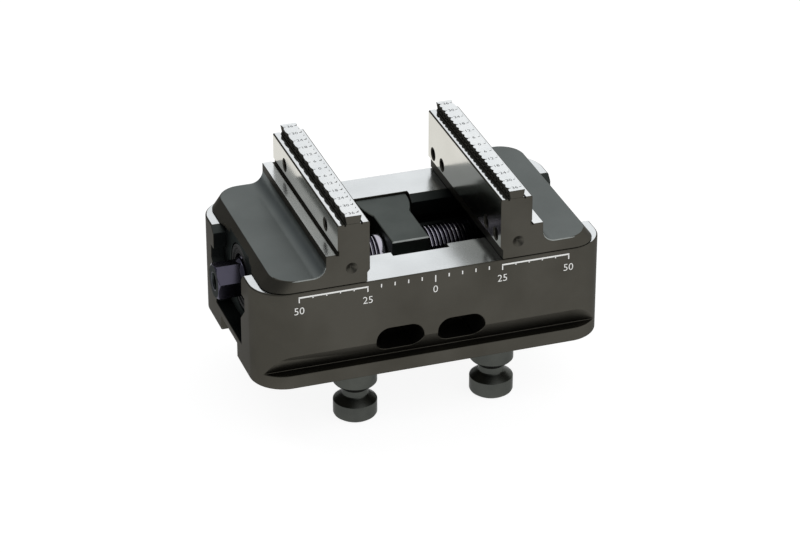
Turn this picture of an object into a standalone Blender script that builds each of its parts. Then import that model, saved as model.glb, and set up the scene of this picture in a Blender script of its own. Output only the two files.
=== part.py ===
"""Self-centring five-axis vise on four pull studs.

Units are metres. X runs along the spindle, Y runs along the jaws and +Z is up.
The origin is the centre of the base's underside. One spindle with a left-hand
and a right-hand thread moves both jaws towards or away from the middle, where
a fork-shaped block holds the spindle in place.
"""

import math

import bmesh
import bpy
from mathutils import Matrix, Vector

# Fit between pieces that touch or slide
CLEARANCE = 0.0003
CUT_OVERRUN = 0.002

# Base body
BASE_LENGTH = 0.130
BASE_WIDTH = 0.077
BASE_HEIGHT = 0.038
BASE_CORNER_RADIUS = 0.0125
BASE_EDGE_CHAMFER = 0.0005

# A 38th of the base's height. Heights inside the base are given in it, so they keep their share
HEIGHT_UNIT = BASE_HEIGHT / 38

# Channel and T-slot along the base
CHANNEL_HALF_WIDTH = 0.0164
CHANNEL_FLOOR = 8.5 * HEIGHT_UNIT
NECK_HALF_WIDTH = 0.0179
MOUTH_CHAMFER = 0.0024
T_SLOT_HALF_WIDTH = 0.0216
T_SLOT_TOP = 29.5 * HEIGHT_UNIT
T_SLOT_BOTTOM = 24.6 * HEIGHT_UNIT

# Seat of the bearing block across the rails
SEAT_HALF_LENGTH = 0.0104
SEAT_HALF_WIDTH = 0.0230
SEAT_FLOOR = 22 * HEIGHT_UNIT

# Grip groove low on the front and the rear of the base
GRIP_FLANGE_HEIGHT = 0.0053
GRIP_DEPTH = 0.0045
GRIP_TOP = 0.0130

# Chip slots through both side walls
CHIP_SLOT_LENGTH = 0.0178
CHIP_SLOT_HEIGHT = 0.0100
CHIP_SLOT_BOTTOM = 0.0082
CHIP_SLOT_CENTRES = (-0.0129, 0.0100)

# Notches under both ends of the base
NOTCH_WIDTH = 0.0208
NOTCH_DEPTH = 0.0058
NOTCH_LENGTH = 0.0140

# Pull studs
STUD_PITCH = 0.052
STUD_COLLAR_RADIUS = 0.0080
STUD_COLLAR_HEIGHT = 0.0080
STUD_NECK_RADIUS = 0.0048
STUD_NECK_TOP = 0.0102
STUD_NECK_BOTTOM = 0.0132
STUD_HEAD_TOP = 0.0155
STUD_HEIGHT = 0.0220
STUD_HEAD_CHAMFER = 0.0010
STUD_SEAT_DEPTH = 0.0020
STUD_SHANK_RADIUS = 0.0040
STUD_SHANK_TOP = 0.0070
STUD_SOCKET_SIZE = 0.0060
STUD_SOCKET_DEPTH = 0.0045

# Spindle
SPINDLE_HEIGHT = 26.3 * HEIGHT_UNIT
THREAD_RADIUS = 0.0080
SPINDLE_LEFT_END = -0.0700
DRIVE_LENGTH = 0.0105
DRIVE_SIZE = 0.0120
DRIVE_TURN = math.radians(41.0)
DRIVE_CHAMFER = 0.0007
DRIVE_HOLE_RADIUS = 0.0027
DRIVE_HOLE_DEPTH = 0.0060
THREAD_RIGHT_END = 0.0590
THREAD_END_CHAMFER = 0.0012
JOURNAL_RADIUS = 0.0060

# Bearing block
BLOCK_TOP = 37.3 * HEIGHT_UNIT
BLOCK_HALF_LENGTH = 0.0100
TONGUE_HALF_LENGTH = 0.0071
TONGUE_FRONT = -0.0123
TONGUE_STRAIGHT = 0.0095
BLOCK_LEDGE = 31 * HEIGHT_UNIT
BLOCK_FOOT_TOP = 16.5 * HEIGHT_UNIT
BLOCK_EDGE_CHAMFER = 0.0004

# Screws and dowel pins under the bearing block
BLOCK_SCREW_X = 0.0060
BLOCK_SCREW_Y = 0.0098
BLOCK_SCREW_RADIUS = 0.0025
BLOCK_SCREW_HEAD_RADIUS = 0.00425
BLOCK_SCREW_HEAD_HEIGHT = 4.5 * HEIGHT_UNIT
BLOCK_SCREW_SEAT = 5.2 * HEIGHT_UNIT
BLOCK_SCREW_TOP = 15.2 * HEIGHT_UNIT
BLOCK_SCREW_SOCKET = 0.0040
BLOCK_SCREW_SOCKET_DEPTH = 0.0024
DOWEL_Y = 0.0137
DOWEL_RADIUS = 0.0020
DOWEL_BOTTOM = 1.5 * HEIGHT_UNIT
DOWEL_TOP = 14 * HEIGHT_UNIT
DOWEL_CHAMFER = 0.0004

# Jaws, given for the right jaw at its distance from the middle
JAW_INNER = 0.02415
JAW_FOOT_INNER = 0.0251
JAW_FOOT_BEVEL_TOP = BASE_HEIGHT + 0.0050
JAW_FOOT_BEVEL_BOTTOM = BASE_HEIGHT + 0.0038
JAW_LEDGE = BASE_HEIGHT + 0.0237
JAW_OUTER = 0.0358
JAW_RELIEF_DEPTH = 0.0007
RIDGE_INNER = 0.0273
RIDGE_OUTER = 0.0327
RIDGE_SHELF = JAW_LEDGE + 0.0013
RIDGE_TOP = RIDGE_SHELF + 0.00165
RIDGE_GROOVE_WIDTH = 0.0005
TOOTH_PITCH = 0.0030
TOOTH_DEPTH = 0.0007
TOOTH_GAP_SHARE = 0.6
TOOTH_ROOT_SHARE = 0.2
WAVE_PITCH = 0.0060
WAVE_DEPTH = 0.0006
WAVE_GAP_SHARE = 0.68
WAVE_ROOT_SHARE = 0.32
RIDGE_SET_BACK = 0.0002
STEP_HEIGHT = BASE_HEIGHT + 0.01245
STEP_OUTER = 0.0401
UNDERCUT_DEPTH = 0.0005
UNDERCUT_HEIGHT = 0.0016
STEP_GROOVE_DEPTH = 0.0004
STEP_GROOVE_WIDTH = 0.0006
FILLET_RADIUS = 0.0047
SHOULDER_HEIGHT = BASE_HEIGHT + 0.0047
SHOULDER_OUTER = 0.0584
SHOULDER_TOP_RADIUS = 0.0080
JAW_END = 0.0619
JAW_CORNER_RADIUS = 0.0100
JAW_HOLE_RADIUS = 0.0021
JAW_FACE_HOLE_NEAR_Y = 0.0235
JAW_FACE_HOLE_FAR_Y = 0.0332
JAW_FACE_HOLE_HEIGHT = BASE_HEIGHT + 0.0081
JAW_FACE_HOLE_DEPTH = 0.0090
JAW_BACK_HOLE_Y = 0.0242
JAW_BACK_HOLE_HEIGHT = BASE_HEIGHT + 0.0175
JAW_BACK_HOLE_DEPTH = 0.0080
JAW_DIMPLE_X = 0.0308
JAW_DIMPLE_HEIGHT = BASE_HEIGHT + 0.0065
JAW_DIMPLE_RADIUS = 0.0022
JAW_DIMPLE_DEPTH = 0.0018

# Guide below each jaw, with its spindle nut and wiper ring
GUIDE_INNER = 0.0350
GUIDE_OUTER = 0.0602
END_RELIEF = ((GUIDE_OUTER, 0.0120), (0.0605, 0.0150), (0.0610, 0.0178), (JAW_END, 0.0208))
GUIDE_TOP = BASE_HEIGHT + 0.0008
GUIDE_BOTTOM = 10 * HEIGHT_UNIT
NUT_RADIUS = 0.0112
NUT_OUTER_END = 0.0567
NUT_GROOVE_RADIUS = 0.0103
NUT_GROOVE_WIDTH = 0.0060
NUT_EDGE_CHAMFER = 0.0006
NUT_SCREW_X = 0.0460
NUT_SCREW_RADIUS = 0.0025
NUT_SCREW_SOCKET = 0.0025
NUT_SCREW_SOCKET_DEPTH = 0.0018
WIPER_RADIUS = 0.0122
WIPER_BORE_RADIUS = 0.0086
WIPER_THICKNESS = 0.0016
WIPER_EDGE_CHAMFER = 0.0003

# Facets on round shapes
CORNER_STEPS = 6
ROUND_SIDES = 32
SMALL_ROUND_SIDES = 16
AXES_SIZE = 0.01

# Colour and roughness of each finish
FINISHES = {
    "burnished_steel": ((0.065, 0.064, 0.060), 0.38),
    "block_steel": ((0.080, 0.086, 0.084), 0.42),
    "spindle_steel": ((0.075, 0.070, 0.085), 0.28),
    "screw_steel": ((0.050, 0.050, 0.052), 0.40),
    "pin_steel": ((0.60, 0.60, 0.60), 0.25),
    "nut_bronze": ((0.55, 0.36, 0.16), 0.35),
    "wiper_rubber": ((0.02, 0.02, 0.02), 0.60),
}

# Frames that stand an outline on its side: sheet X and Y become these directions
ALONG_Z = Matrix.Identity(4)
ALONG_X = Matrix(((0, 0, 1, 0), (1, 0, 0, 0), (0, 1, 0, 0), (0, 0, 0, 1)))
ALONG_Y = Matrix(((1, 0, 0, 0), (0, 0, -1, 0), (0, 1, 0, 0), (0, 0, 0, 1)))


def clear_scene():
    for thing in list(bpy.data.objects):
        bpy.data.objects.remove(thing, do_unlink=True)


def new_collection(name):
    collection = bpy.data.collections.new(name)
    bpy.context.scene.collection.children.link(collection)
    return collection


def finish(name):
    """The named finish: every piece is metal, apart from the rubber rings."""
    colour, roughness = FINISHES[name]
    material = bpy.data.materials.new(name)
    material.use_nodes = True
    shader = material.node_tree.nodes["Principled BSDF"]
    shader.inputs["Base Color"].default_value = (*colour, 1.0)
    shader.inputs["Roughness"].default_value = roughness
    shader.inputs["Metallic"].default_value = 0.0 if name == "wiper_rubber" else 1.0
    return material


def arc(centre, radius, start, end, steps):
    """Points on an arc, with its angles in degrees."""
    angles = [math.radians(start + (end - start) * i / steps) for i in range(steps + 1)]
    return [(centre[0] + radius * math.cos(a), centre[1] + radius * math.sin(a)) for a in angles]


def rounded_rectangle(length, width, radius):
    points = []
    for sign_x, sign_y, start in ((1, 1, 0), (-1, 1, 90), (-1, -1, 180), (1, -1, 270)):
        centre = (sign_x * (length / 2 - radius), sign_y * (width / 2 - radius))
        points += arc(centre, radius, start, start + 90, CORNER_STEPS)
    return points


def rectangle(low_a, high_a, low_b, high_b):
    return [(low_a, low_b), (high_a, low_b), (high_a, high_b), (low_a, high_b)]


def both_sides(half_profile):
    """An outline from its right half, given from top to bottom."""
    return half_profile + [(-a, b) for a, b in reversed(half_profile)]


def mesh_object(name, mesh, collection, material=None):
    thing = bpy.data.objects.new(name, mesh)
    collection.objects.link(thing)
    if material:
        mesh.materials.clear()
        mesh.materials.append(material)
    return thing


def extrude_outline(name, outline, start, end, frame, collection, material=None):
    """A flat outline pushed from start to end along the frame's third direction."""
    curve = bpy.data.curves.new(name, "CURVE")
    curve.dimensions = "2D"
    curve.fill_mode = "BOTH"
    curve.extrude = (end - start) / 2
    spline = curve.splines.new("POLY")
    spline.points.add(len(outline) - 1)
    for point, (a, b) in zip(spline.points, outline):
        point.co = (a, b, 0.0, 1.0)
    spline.use_cyclic_u = True
    sheet = bpy.data.objects.new(name + "_sheet", curve)
    collection.objects.link(sheet)
    mesh = bpy.data.meshes.new_from_object(sheet.evaluated_get(bpy.context.evaluated_depsgraph_get()))
    bpy.data.objects.remove(sheet, do_unlink=True)
    bpy.data.curves.remove(curve)
    mesh.transform(frame @ Matrix.Translation((0, 0, (start + end) / 2)))
    welded = bmesh.new()
    welded.from_mesh(mesh)
    bmesh.ops.remove_doubles(welded, verts=welded.verts, dist=1e-6)
    bmesh.ops.recalc_face_normals(welded, faces=welded.faces)
    welded.to_mesh(mesh)
    welded.free()
    mesh.name = name
    return mesh_object(name, mesh, collection, material)


def turn_profile(name, profile, sides, direction, place, collection, material=None):
    """A turned solid from its (radius, height) profile, listed from top to bottom."""
    mesh = bpy.data.meshes.new(name)
    shape = bmesh.new()
    points = [shape.verts.new((radius, 0.0, height)) for radius, height in profile]
    for upper, lower in zip(points, points[1:]):
        shape.edges.new((upper, lower))
    shape.to_mesh(mesh)
    shape.free()
    thing = mesh_object(name, mesh, collection, material)
    screw = thing.modifiers.new("Turned", "SCREW")
    screw.axis = "Z"
    screw.steps = sides
    screw.render_steps = sides
    screw.use_merge_vertices = True
    screw.merge_threshold = 1e-6
    screw.use_smooth_shade = False
    turned = bpy.data.meshes.new_from_object(
        thing.evaluated_get(bpy.context.evaluated_depsgraph_get()))
    thing.modifiers.remove(screw)
    thing.data = turned
    bpy.data.meshes.remove(mesh)
    turned.name = name
    turn = Vector(direction).to_track_quat("Z", "Y").to_matrix().to_4x4()
    turned.transform(Matrix.Translation(place) @ turn)
    if material and not turned.materials:
        turned.materials.append(material)
    return thing


def cylinder_profile(radius, bottom, top, chamfer=0.0):
    if not chamfer:
        return [(0.0, top), (radius, top), (radius, bottom), (0.0, bottom)]
    return [
        (0.0, top), (radius - chamfer, top), (radius, top - chamfer),
        (radius, bottom + chamfer), (radius - chamfer, bottom), (0.0, bottom),
    ]


def ring_profile(radius, bore, bottom, top, chamfer):
    return [
        (bore, top), (radius - chamfer, top), (radius, top - chamfer),
        (radius, bottom + chamfer), (radius - chamfer, bottom), (bore, bottom), (bore, top),
    ]


def hexagon(size, turn=0.0):
    corner = size / math.sqrt(3)
    return [(corner * math.cos(turn + k * math.pi / 3), corner * math.sin(turn + k * math.pi / 3))
            for k in range(6)]


def loft(name, sections, collection):
    """A solid through outlines of equal point counts, each at its own height."""
    mesh = bpy.data.meshes.new(name)
    shape = bmesh.new()
    rings = [[shape.verts.new((a, b, height)) for a, b in outline] for outline, height in sections]
    for lower, upper in zip(rings, rings[1:]):
        for i in range(len(lower)):
            j = (i + 1) % len(lower)
            shape.faces.new((lower[i], lower[j], upper[j], upper[i]))
    shape.faces.new(rings[0])
    shape.faces.new(rings[-1])
    bmesh.ops.recalc_face_normals(shape, faces=shape.faces)
    shape.to_mesh(mesh)
    shape.free()
    return mesh_object(name, mesh, collection)


def chamfer_edges(thing, width, angle=60.0):
    bevel = thing.modifiers.new("Edge chamfer", "BEVEL")
    bevel.width = width
    bevel.segments = 1
    bevel.limit_method = "ANGLE"
    bevel.angle_limit = math.radians(angle)


def combine(thing, tool, operation):
    """A Boolean with a tool object, which stays as a wire guide."""
    tool.hide_render = True
    tool.display_type = "WIRE"
    boolean = thing.modifiers.new(tool.name, "BOOLEAN")
    boolean.operation = operation
    boolean.solver = "EXACT"
    boolean.object = tool


def cut(thing, *tools):
    for tool in tools:
        combine(thing, tool, "DIFFERENCE")


def shade_round(thing):
    thing.data.shade_smooth()
    thing.data.set_sharp_from_angle(angle=math.radians(30.0))


def set_origin(thing, point):
    """Moves the object's origin to a point, with the shape left in place."""
    thing.data.transform(Matrix.Translation(-Vector(point)))
    thing.location = point


def empty(name, point, collection, parent=None):
    frame = bpy.data.objects.new(name, None)
    frame.empty_display_size = AXES_SIZE
    collection.objects.link(frame)
    frame.location = point
    if parent:
        carry(frame, parent)
    return frame


def carry(thing, parent):
    """Parents a piece and keeps its place."""
    bpy.context.view_layer.update()
    thing.parent = parent
    thing.matrix_parent_inverse = parent.matrix_world.inverted()


def channel_outline(gap):
    """The channel with its T-slot, made smaller all round by a gap."""
    slope = T_SLOT_HALF_WIDTH - CHANNEL_HALF_WIDTH
    half = [
        (NECK_HALF_WIDTH - gap + MOUTH_CHAMFER + CUT_OVERRUN, BASE_HEIGHT + CUT_OVERRUN),
        (NECK_HALF_WIDTH - gap, BASE_HEIGHT - MOUTH_CHAMFER),
        (NECK_HALF_WIDTH - gap, T_SLOT_TOP - gap),
        (T_SLOT_HALF_WIDTH - gap, T_SLOT_TOP - gap),
        (T_SLOT_HALF_WIDTH - gap, T_SLOT_BOTTOM + gap),
        (CHANNEL_HALF_WIDTH - gap, T_SLOT_BOTTOM - slope + gap),
        (CHANNEL_HALF_WIDTH - gap, CHANNEL_FLOOR),
    ]
    return both_sides(half)


def chip_slot_outline(centre):
    radius = CHIP_SLOT_HEIGHT / 2
    reach = CHIP_SLOT_LENGTH / 2 - radius
    height = CHIP_SLOT_BOTTOM + radius
    return (arc((centre + reach, height), radius, -90, 90, CORNER_STEPS)
            + arc((centre - reach, height), radius, 90, 270, CORNER_STEPS))


def grip_groove_outline(side):
    face = side * BASE_WIDTH / 2
    root = side * (BASE_WIDTH / 2 - GRIP_DEPTH)
    outside = side * (BASE_WIDTH / 2 + CUT_OVERRUN)
    return [(outside, GRIP_FLANGE_HEIGHT), (root, GRIP_FLANGE_HEIGHT), (face, GRIP_TOP), (outside, GRIP_TOP)]


def stud_places():
    half = STUD_PITCH / 2
    return {
        "front_left": (-half, -half), "front_right": (half, -half),
        "rear_left": (-half, half), "rear_right": (half, half),
    }


def block_screw_places():
    return [(x, y) for y in (-BLOCK_SCREW_Y, BLOCK_SCREW_Y) for x in (-BLOCK_SCREW_X, BLOCK_SCREW_X)]


def make_base(parts, tools, material):
    base = extrude_outline("base_body", rounded_rectangle(BASE_LENGTH, BASE_WIDTH, BASE_CORNER_RADIUS),
                           0.0, BASE_HEIGHT, ALONG_Z, parts, material)
    chamfer_edges(base, BASE_EDGE_CHAMFER)
    reach_x = BASE_LENGTH / 2 + CUT_OVERRUN
    reach_y = BASE_WIDTH / 2 + CUT_OVERRUN
    cut(base, extrude_outline("cut_channel", channel_outline(0.0), -reach_x, reach_x, ALONG_X, tools))
    seat = rectangle(-SEAT_HALF_LENGTH, SEAT_HALF_LENGTH, -SEAT_HALF_WIDTH, SEAT_HALF_WIDTH)
    cut(base, extrude_outline("cut_block_seat", seat, SEAT_FLOOR, BASE_HEIGHT + CUT_OVERRUN, ALONG_Z, tools))
    for side, word in ((-1, "front"), (1, "rear")):
        cut(base, extrude_outline("cut_grip_groove_" + word, grip_groove_outline(side),
                                  -reach_x, reach_x, ALONG_X, tools))
    for centre, word in zip(CHIP_SLOT_CENTRES, ("left", "right")):
        cut(base, extrude_outline("cut_chip_slot_" + word, chip_slot_outline(centre),
                                  -reach_y, reach_y, ALONG_Y, tools))
    for side, word in ((-1, "left"), (1, "right")):
        inner = side * (BASE_LENGTH / 2 - NOTCH_LENGTH)
        notch = rectangle(min(inner, side * reach_x), max(inner, side * reach_x),
                          -NOTCH_WIDTH / 2, NOTCH_WIDTH / 2)
        cut(base, extrude_outline("cut_end_notch_" + word, notch, -CUT_OVERRUN, NOTCH_DEPTH, ALONG_Z, tools))
    for word, (x, y) in stud_places().items():
        hole = [
            (0.0, STUD_SHANK_TOP + CLEARANCE), (STUD_SHANK_RADIUS + CLEARANCE, STUD_SHANK_TOP + CLEARANCE),
            (STUD_SHANK_RADIUS + CLEARANCE, STUD_SEAT_DEPTH),
            (STUD_COLLAR_RADIUS + CLEARANCE, STUD_SEAT_DEPTH),
            (STUD_COLLAR_RADIUS + CLEARANCE, -CUT_OVERRUN), (0.0, -CUT_OVERRUN),
        ]
        cut(base, turn_profile("cut_stud_seat_" + word, hole, ROUND_SIDES, (0, 0, 1), (x, y, 0), tools))
    for index, (x, y) in enumerate(block_screw_places(), 1):
        hole = [
            (0.0, CHANNEL_FLOOR + CUT_OVERRUN), (BLOCK_SCREW_RADIUS + CLEARANCE, CHANNEL_FLOOR + CUT_OVERRUN),
            (BLOCK_SCREW_RADIUS + CLEARANCE, BLOCK_SCREW_SEAT),
            (BLOCK_SCREW_HEAD_RADIUS + CLEARANCE, BLOCK_SCREW_SEAT),
            (BLOCK_SCREW_HEAD_RADIUS + CLEARANCE, -CUT_OVERRUN), (0.0, -CUT_OVERRUN),
        ]
        cut(base, turn_profile(f"cut_block_screw_{index}", hole, SMALL_ROUND_SIDES, (0, 0, 1),
                               (x, y, 0), tools))
    for side, word in ((-1, "front"), (1, "rear")):
        hole = cylinder_profile(DOWEL_RADIUS + CLEARANCE, -CUT_OVERRUN, CHANNEL_FLOOR + CUT_OVERRUN)
        cut(base, turn_profile("cut_dowel_hole_" + word, hole, SMALL_ROUND_SIDES, (0, 0, 1),
                               (0, side * DOWEL_Y, 0), tools))
    return base


def hex_socket(name, size, depth, place, tools):
    """A six-sided key recess that opens downwards."""
    x, y, z = place
    outline = [(x + a, y + b) for a, b in hexagon(size)]
    return extrude_outline(name, outline, z - CUT_OVERRUN, z + depth, ALONG_Z, tools)


def make_stud(word, place, parts, tools, material):
    profile = [
        (0.0, STUD_SHANK_TOP), (STUD_SHANK_RADIUS, STUD_SHANK_TOP),
        (STUD_SHANK_RADIUS, STUD_SEAT_DEPTH - CLEARANCE),
        (STUD_COLLAR_RADIUS, STUD_SEAT_DEPTH - CLEARANCE),
        (STUD_COLLAR_RADIUS, -STUD_COLLAR_HEIGHT), (STUD_NECK_RADIUS, -STUD_NECK_TOP),
        (STUD_NECK_RADIUS, -STUD_NECK_BOTTOM), (STUD_COLLAR_RADIUS, -STUD_HEAD_TOP),
        (STUD_COLLAR_RADIUS, -STUD_HEIGHT + STUD_HEAD_CHAMFER),
        (STUD_COLLAR_RADIUS - STUD_HEAD_CHAMFER, -STUD_HEIGHT), (0.0, -STUD_HEIGHT),
    ]
    stud = turn_profile("pull_stud_" + word, profile, ROUND_SIDES, (0, 0, 1), (*place, 0), parts, material)
    cut(stud, hex_socket("cut_stud_socket_" + word, STUD_SOCKET_SIZE, STUD_SOCKET_DEPTH,
                         (*place, -STUD_HEIGHT), tools))
    set_origin(stud, (*place, 0))
    shade_round(stud)
    return stud


def flare_arc(start):
    """One flank of the bearing block: it leaves the waist at an angle and runs out straight."""
    flare = BLOCK_HALF_LENGTH - TONGUE_HALF_LENGTH
    reach = SEAT_HALF_WIDTH - CLEARANCE
    run = reach - start
    radius = (run * run + flare * flare) / (2 * flare)
    sweep = math.degrees(math.asin(run / radius))
    return arc((BLOCK_HALF_LENGTH - radius, reach), radius, -sweep, 0, CORNER_STEPS)


def block_outline():
    """The bearing block from above: a straight waist that flares to both ends."""
    rear = flare_arc(TONGUE_STRAIGHT)
    front = [(x, -y) for x, y in reversed(flare_arc(-TONGUE_FRONT))]
    half = front + rear
    return half + [(-x, y) for x, y in reversed(half)]


def make_block(parts, tools, material):
    bottom = CHANNEL_FLOOR + CLEARANCE
    reach = SEAT_HALF_WIDTH + CUT_OVERRUN
    block = extrude_outline("bearing_block", block_outline(), bottom, BLOCK_TOP, ALONG_Z, parts, material)
    chamfer_edges(block, BLOCK_EDGE_CHAMFER)
    front = rectangle(-reach, TONGUE_FRONT, BLOCK_LEDGE, BLOCK_TOP + CUT_OVERRUN)
    cut(block, extrude_outline("cut_block_front", front, -BASE_HEIGHT, BASE_HEIGHT, ALONG_X, tools))
    foot_reach = CHANNEL_HALF_WIDTH - CLEARANCE
    for side, word in ((-1, "front"), (1, "rear")):
        low = rectangle(*sorted((side * foot_reach, side * reach)), 0.0, SEAT_FLOOR + CLEARANCE)
        cut(block, extrude_outline("cut_block_step_" + word, low, -BASE_HEIGHT, BASE_HEIGHT, ALONG_X, tools))
    foot = rectangle(-BLOCK_HALF_LENGTH, BLOCK_HALF_LENGTH, -foot_reach + CLEARANCE, foot_reach - CLEARANCE)
    combine(block, extrude_outline("add_block_foot", foot, bottom + BLOCK_EDGE_CHAMFER, BLOCK_FOOT_TOP,
                                   ALONG_Z, tools), "UNION")
    bore = JOURNAL_RADIUS + CLEARANCE
    fork = arc((0.0, SPINDLE_HEIGHT), bore, 0, 180, 2 * CORNER_STEPS) + [(-bore, 0.0), (bore, 0.0)]
    cut(block, extrude_outline("cut_block_fork", fork, -BASE_HEIGHT, BASE_HEIGHT, ALONG_X, tools))
    for index, (x, y) in enumerate(block_screw_places(), 1):
        hole = cylinder_profile(BLOCK_SCREW_RADIUS + CLEARANCE, 0.0, BLOCK_SCREW_TOP + CLEARANCE)
        cut(block, turn_profile(f"cut_block_thread_{index}", hole, SMALL_ROUND_SIDES, (0, 0, 1),
                                (x, y, 0), tools))
    for side, word in ((-1, "front"), (1, "rear")):
        hole = cylinder_profile(DOWEL_RADIUS + CLEARANCE, 0.0, DOWEL_TOP + CLEARANCE)
        cut(block, turn_profile("cut_block_dowel_" + word, hole, SMALL_ROUND_SIDES, (0, 0, 1),
                                (0, side * DOWEL_Y, 0), tools))
    return block


def make_block_screw(index, place, parts, tools, material):
    seat = BLOCK_SCREW_SEAT - CLEARANCE
    profile = [
        (0.0, BLOCK_SCREW_TOP), (BLOCK_SCREW_RADIUS, BLOCK_SCREW_TOP), (BLOCK_SCREW_RADIUS, seat),
        (BLOCK_SCREW_HEAD_RADIUS, seat), (BLOCK_SCREW_HEAD_RADIUS, seat - BLOCK_SCREW_HEAD_HEIGHT),
        (0.0, seat - BLOCK_SCREW_HEAD_HEIGHT),
    ]
    name = f"bearing_screw_{index}"
    screw = turn_profile(name, profile, SMALL_ROUND_SIDES, (0, 0, 1), (*place, 0), parts, material)
    cut(screw, hex_socket("cut_" + name, BLOCK_SCREW_SOCKET, BLOCK_SCREW_SOCKET_DEPTH,
                          (*place, seat - BLOCK_SCREW_HEAD_HEIGHT), tools))
    set_origin(screw, (*place, seat))
    shade_round(screw)
    return screw


def make_spindle(parts, tools, material):
    drive_start = SPINDLE_LEFT_END + DRIVE_LENGTH
    shoulder = TONGUE_HALF_LENGTH + CLEARANCE
    profile = [
        (0.0, THREAD_RIGHT_END), (THREAD_RADIUS - THREAD_END_CHAMFER, THREAD_RIGHT_END),
        (THREAD_RADIUS, THREAD_RIGHT_END - THREAD_END_CHAMFER), (THREAD_RADIUS, shoulder),
        (JOURNAL_RADIUS, shoulder), (JOURNAL_RADIUS, -shoulder), (THREAD_RADIUS, -shoulder),
        (THREAD_RADIUS, drive_start + THREAD_END_CHAMFER), (THREAD_RADIUS - THREAD_END_CHAMFER, drive_start),
        (0.0, drive_start),
    ]
    axis = (0, 0, SPINDLE_HEIGHT)
    spindle = turn_profile("spindle", profile, ROUND_SIDES, (1, 0, 0), axis, parts, material)
    outline = [(a, SPINDLE_HEIGHT + b) for a, b in hexagon(DRIVE_SIZE, DRIVE_TURN)]
    drive = extrude_outline("add_hex_drive", outline, SPINDLE_LEFT_END, drive_start + CUT_OVERRUN,
                            ALONG_X, tools)
    corner = DRIVE_SIZE / math.sqrt(3)
    tip = [
        (0.0, drive_start + 2 * CUT_OVERRUN), (corner + CUT_OVERRUN, drive_start + 2 * CUT_OVERRUN),
        (corner + CUT_OVERRUN, SPINDLE_LEFT_END + DRIVE_CHAMFER + CUT_OVERRUN),
        (corner - DRIVE_CHAMFER - CLEARANCE, SPINDLE_LEFT_END - CLEARANCE),
        (0.0, SPINDLE_LEFT_END - CLEARANCE),
    ]
    combine(drive, turn_profile("keep_drive_tip", tip, ROUND_SIDES, (1, 0, 0), axis, tools), "INTERSECT")
    combine(spindle, drive, "UNION")
    hole = cylinder_profile(DRIVE_HOLE_RADIUS, SPINDLE_LEFT_END - CUT_OVERRUN,
                            SPINDLE_LEFT_END + DRIVE_HOLE_DEPTH)
    cut(spindle, turn_profile("cut_drive_hole", hole, SMALL_ROUND_SIDES, (1, 0, 0), axis, tools))
    set_origin(spindle, axis)
    shade_round(spindle)
    return spindle


def jaw_profile():
    """The right jaw's section across its length, up to the ridge's shelf."""
    relief = JAW_LEDGE - JAW_RELIEF_DEPTH
    bottom = BASE_HEIGHT + CLEARANCE
    undercut = STEP_HEIGHT + UNDERCUT_HEIGHT
    groove_floor = STEP_HEIGHT - STEP_GROOVE_DEPTH
    groove_edge = JAW_OUTER + STEP_GROOVE_WIDTH
    fillet_centre = (STEP_OUTER + FILLET_RADIUS, SHOULDER_HEIGHT + FILLET_RADIUS)
    return [
        (JAW_FOOT_INNER, bottom), (JAW_FOOT_INNER, JAW_FOOT_BEVEL_BOTTOM), (JAW_INNER, JAW_FOOT_BEVEL_TOP),
        (JAW_INNER, JAW_LEDGE), (RIDGE_INNER - RIDGE_GROOVE_WIDTH, JAW_LEDGE),
        (RIDGE_INNER - RIDGE_GROOVE_WIDTH, relief), (RIDGE_INNER, relief), (RIDGE_INNER, RIDGE_SHELF),
        (RIDGE_OUTER, RIDGE_SHELF), (RIDGE_OUTER, relief), (RIDGE_OUTER + RIDGE_GROOVE_WIDTH, relief),
        (RIDGE_OUTER + RIDGE_GROOVE_WIDTH, JAW_LEDGE), (JAW_OUTER, JAW_LEDGE), (JAW_OUTER, undercut),
        (JAW_OUTER - UNDERCUT_DEPTH, undercut - UNDERCUT_DEPTH), (JAW_OUTER - UNDERCUT_DEPTH, groove_floor),
        (groove_edge, groove_floor), (groove_edge, STEP_HEIGHT), (STEP_OUTER, STEP_HEIGHT),
    ] + arc(fillet_centre, FILLET_RADIUS, 180, 270, CORNER_STEPS) + [
        (JAW_END + CUT_OVERRUN, SHOULDER_HEIGHT), (JAW_END + CUT_OVERRUN, bottom),
    ]


def ridge_outline():
    """The ridge from above: sharp teeth on the grip side, shallow waves behind."""
    reach = BASE_WIDTH / 2 + CUT_OVERRUN
    inner = RIDGE_INNER + RIDGE_SET_BACK
    outer = RIDGE_OUTER - RIDGE_SET_BACK
    tooth_gap = TOOTH_PITCH * TOOTH_GAP_SHARE / 2
    tooth_root = TOOTH_PITCH * TOOTH_ROOT_SHARE / 2
    wave_gap = WAVE_PITCH * WAVE_GAP_SHARE / 2
    wave_root = WAVE_PITCH * WAVE_ROOT_SHARE / 2
    teeth = int(reach / TOOTH_PITCH)
    points = [(inner, -reach)]
    for k in range(-teeth, teeth + 1):
        middle = k * TOOTH_PITCH
        points += [(inner, middle - tooth_gap), (inner + TOOTH_DEPTH, middle - tooth_root),
                   (inner + TOOTH_DEPTH, middle + tooth_root), (inner, middle + tooth_gap)]
    points.append((inner, reach))
    waves = int(reach / WAVE_PITCH)
    points.append((outer, reach))
    for k in range(waves, -waves - 1, -1):
        middle = k * WAVE_PITCH
        points += [(outer, middle + wave_gap), (outer - WAVE_DEPTH, middle + wave_root),
                   (outer - WAVE_DEPTH, middle - wave_root), (outer, middle - wave_gap)]
    points.append((outer, -reach))
    return points


def jaw_plan(end, radius):
    """The jaw from above, with both outer corners rounded."""
    half = BASE_WIDTH / 2
    inner = JAW_INNER - CUT_OVERRUN
    return ([(inner, -half)] + arc((end - radius, -half + radius), radius, -90, 0, CORNER_STEPS)
            + arc((end - radius, half - radius), radius, 0, 90, CORNER_STEPS) + [(inner, half)])


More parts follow.
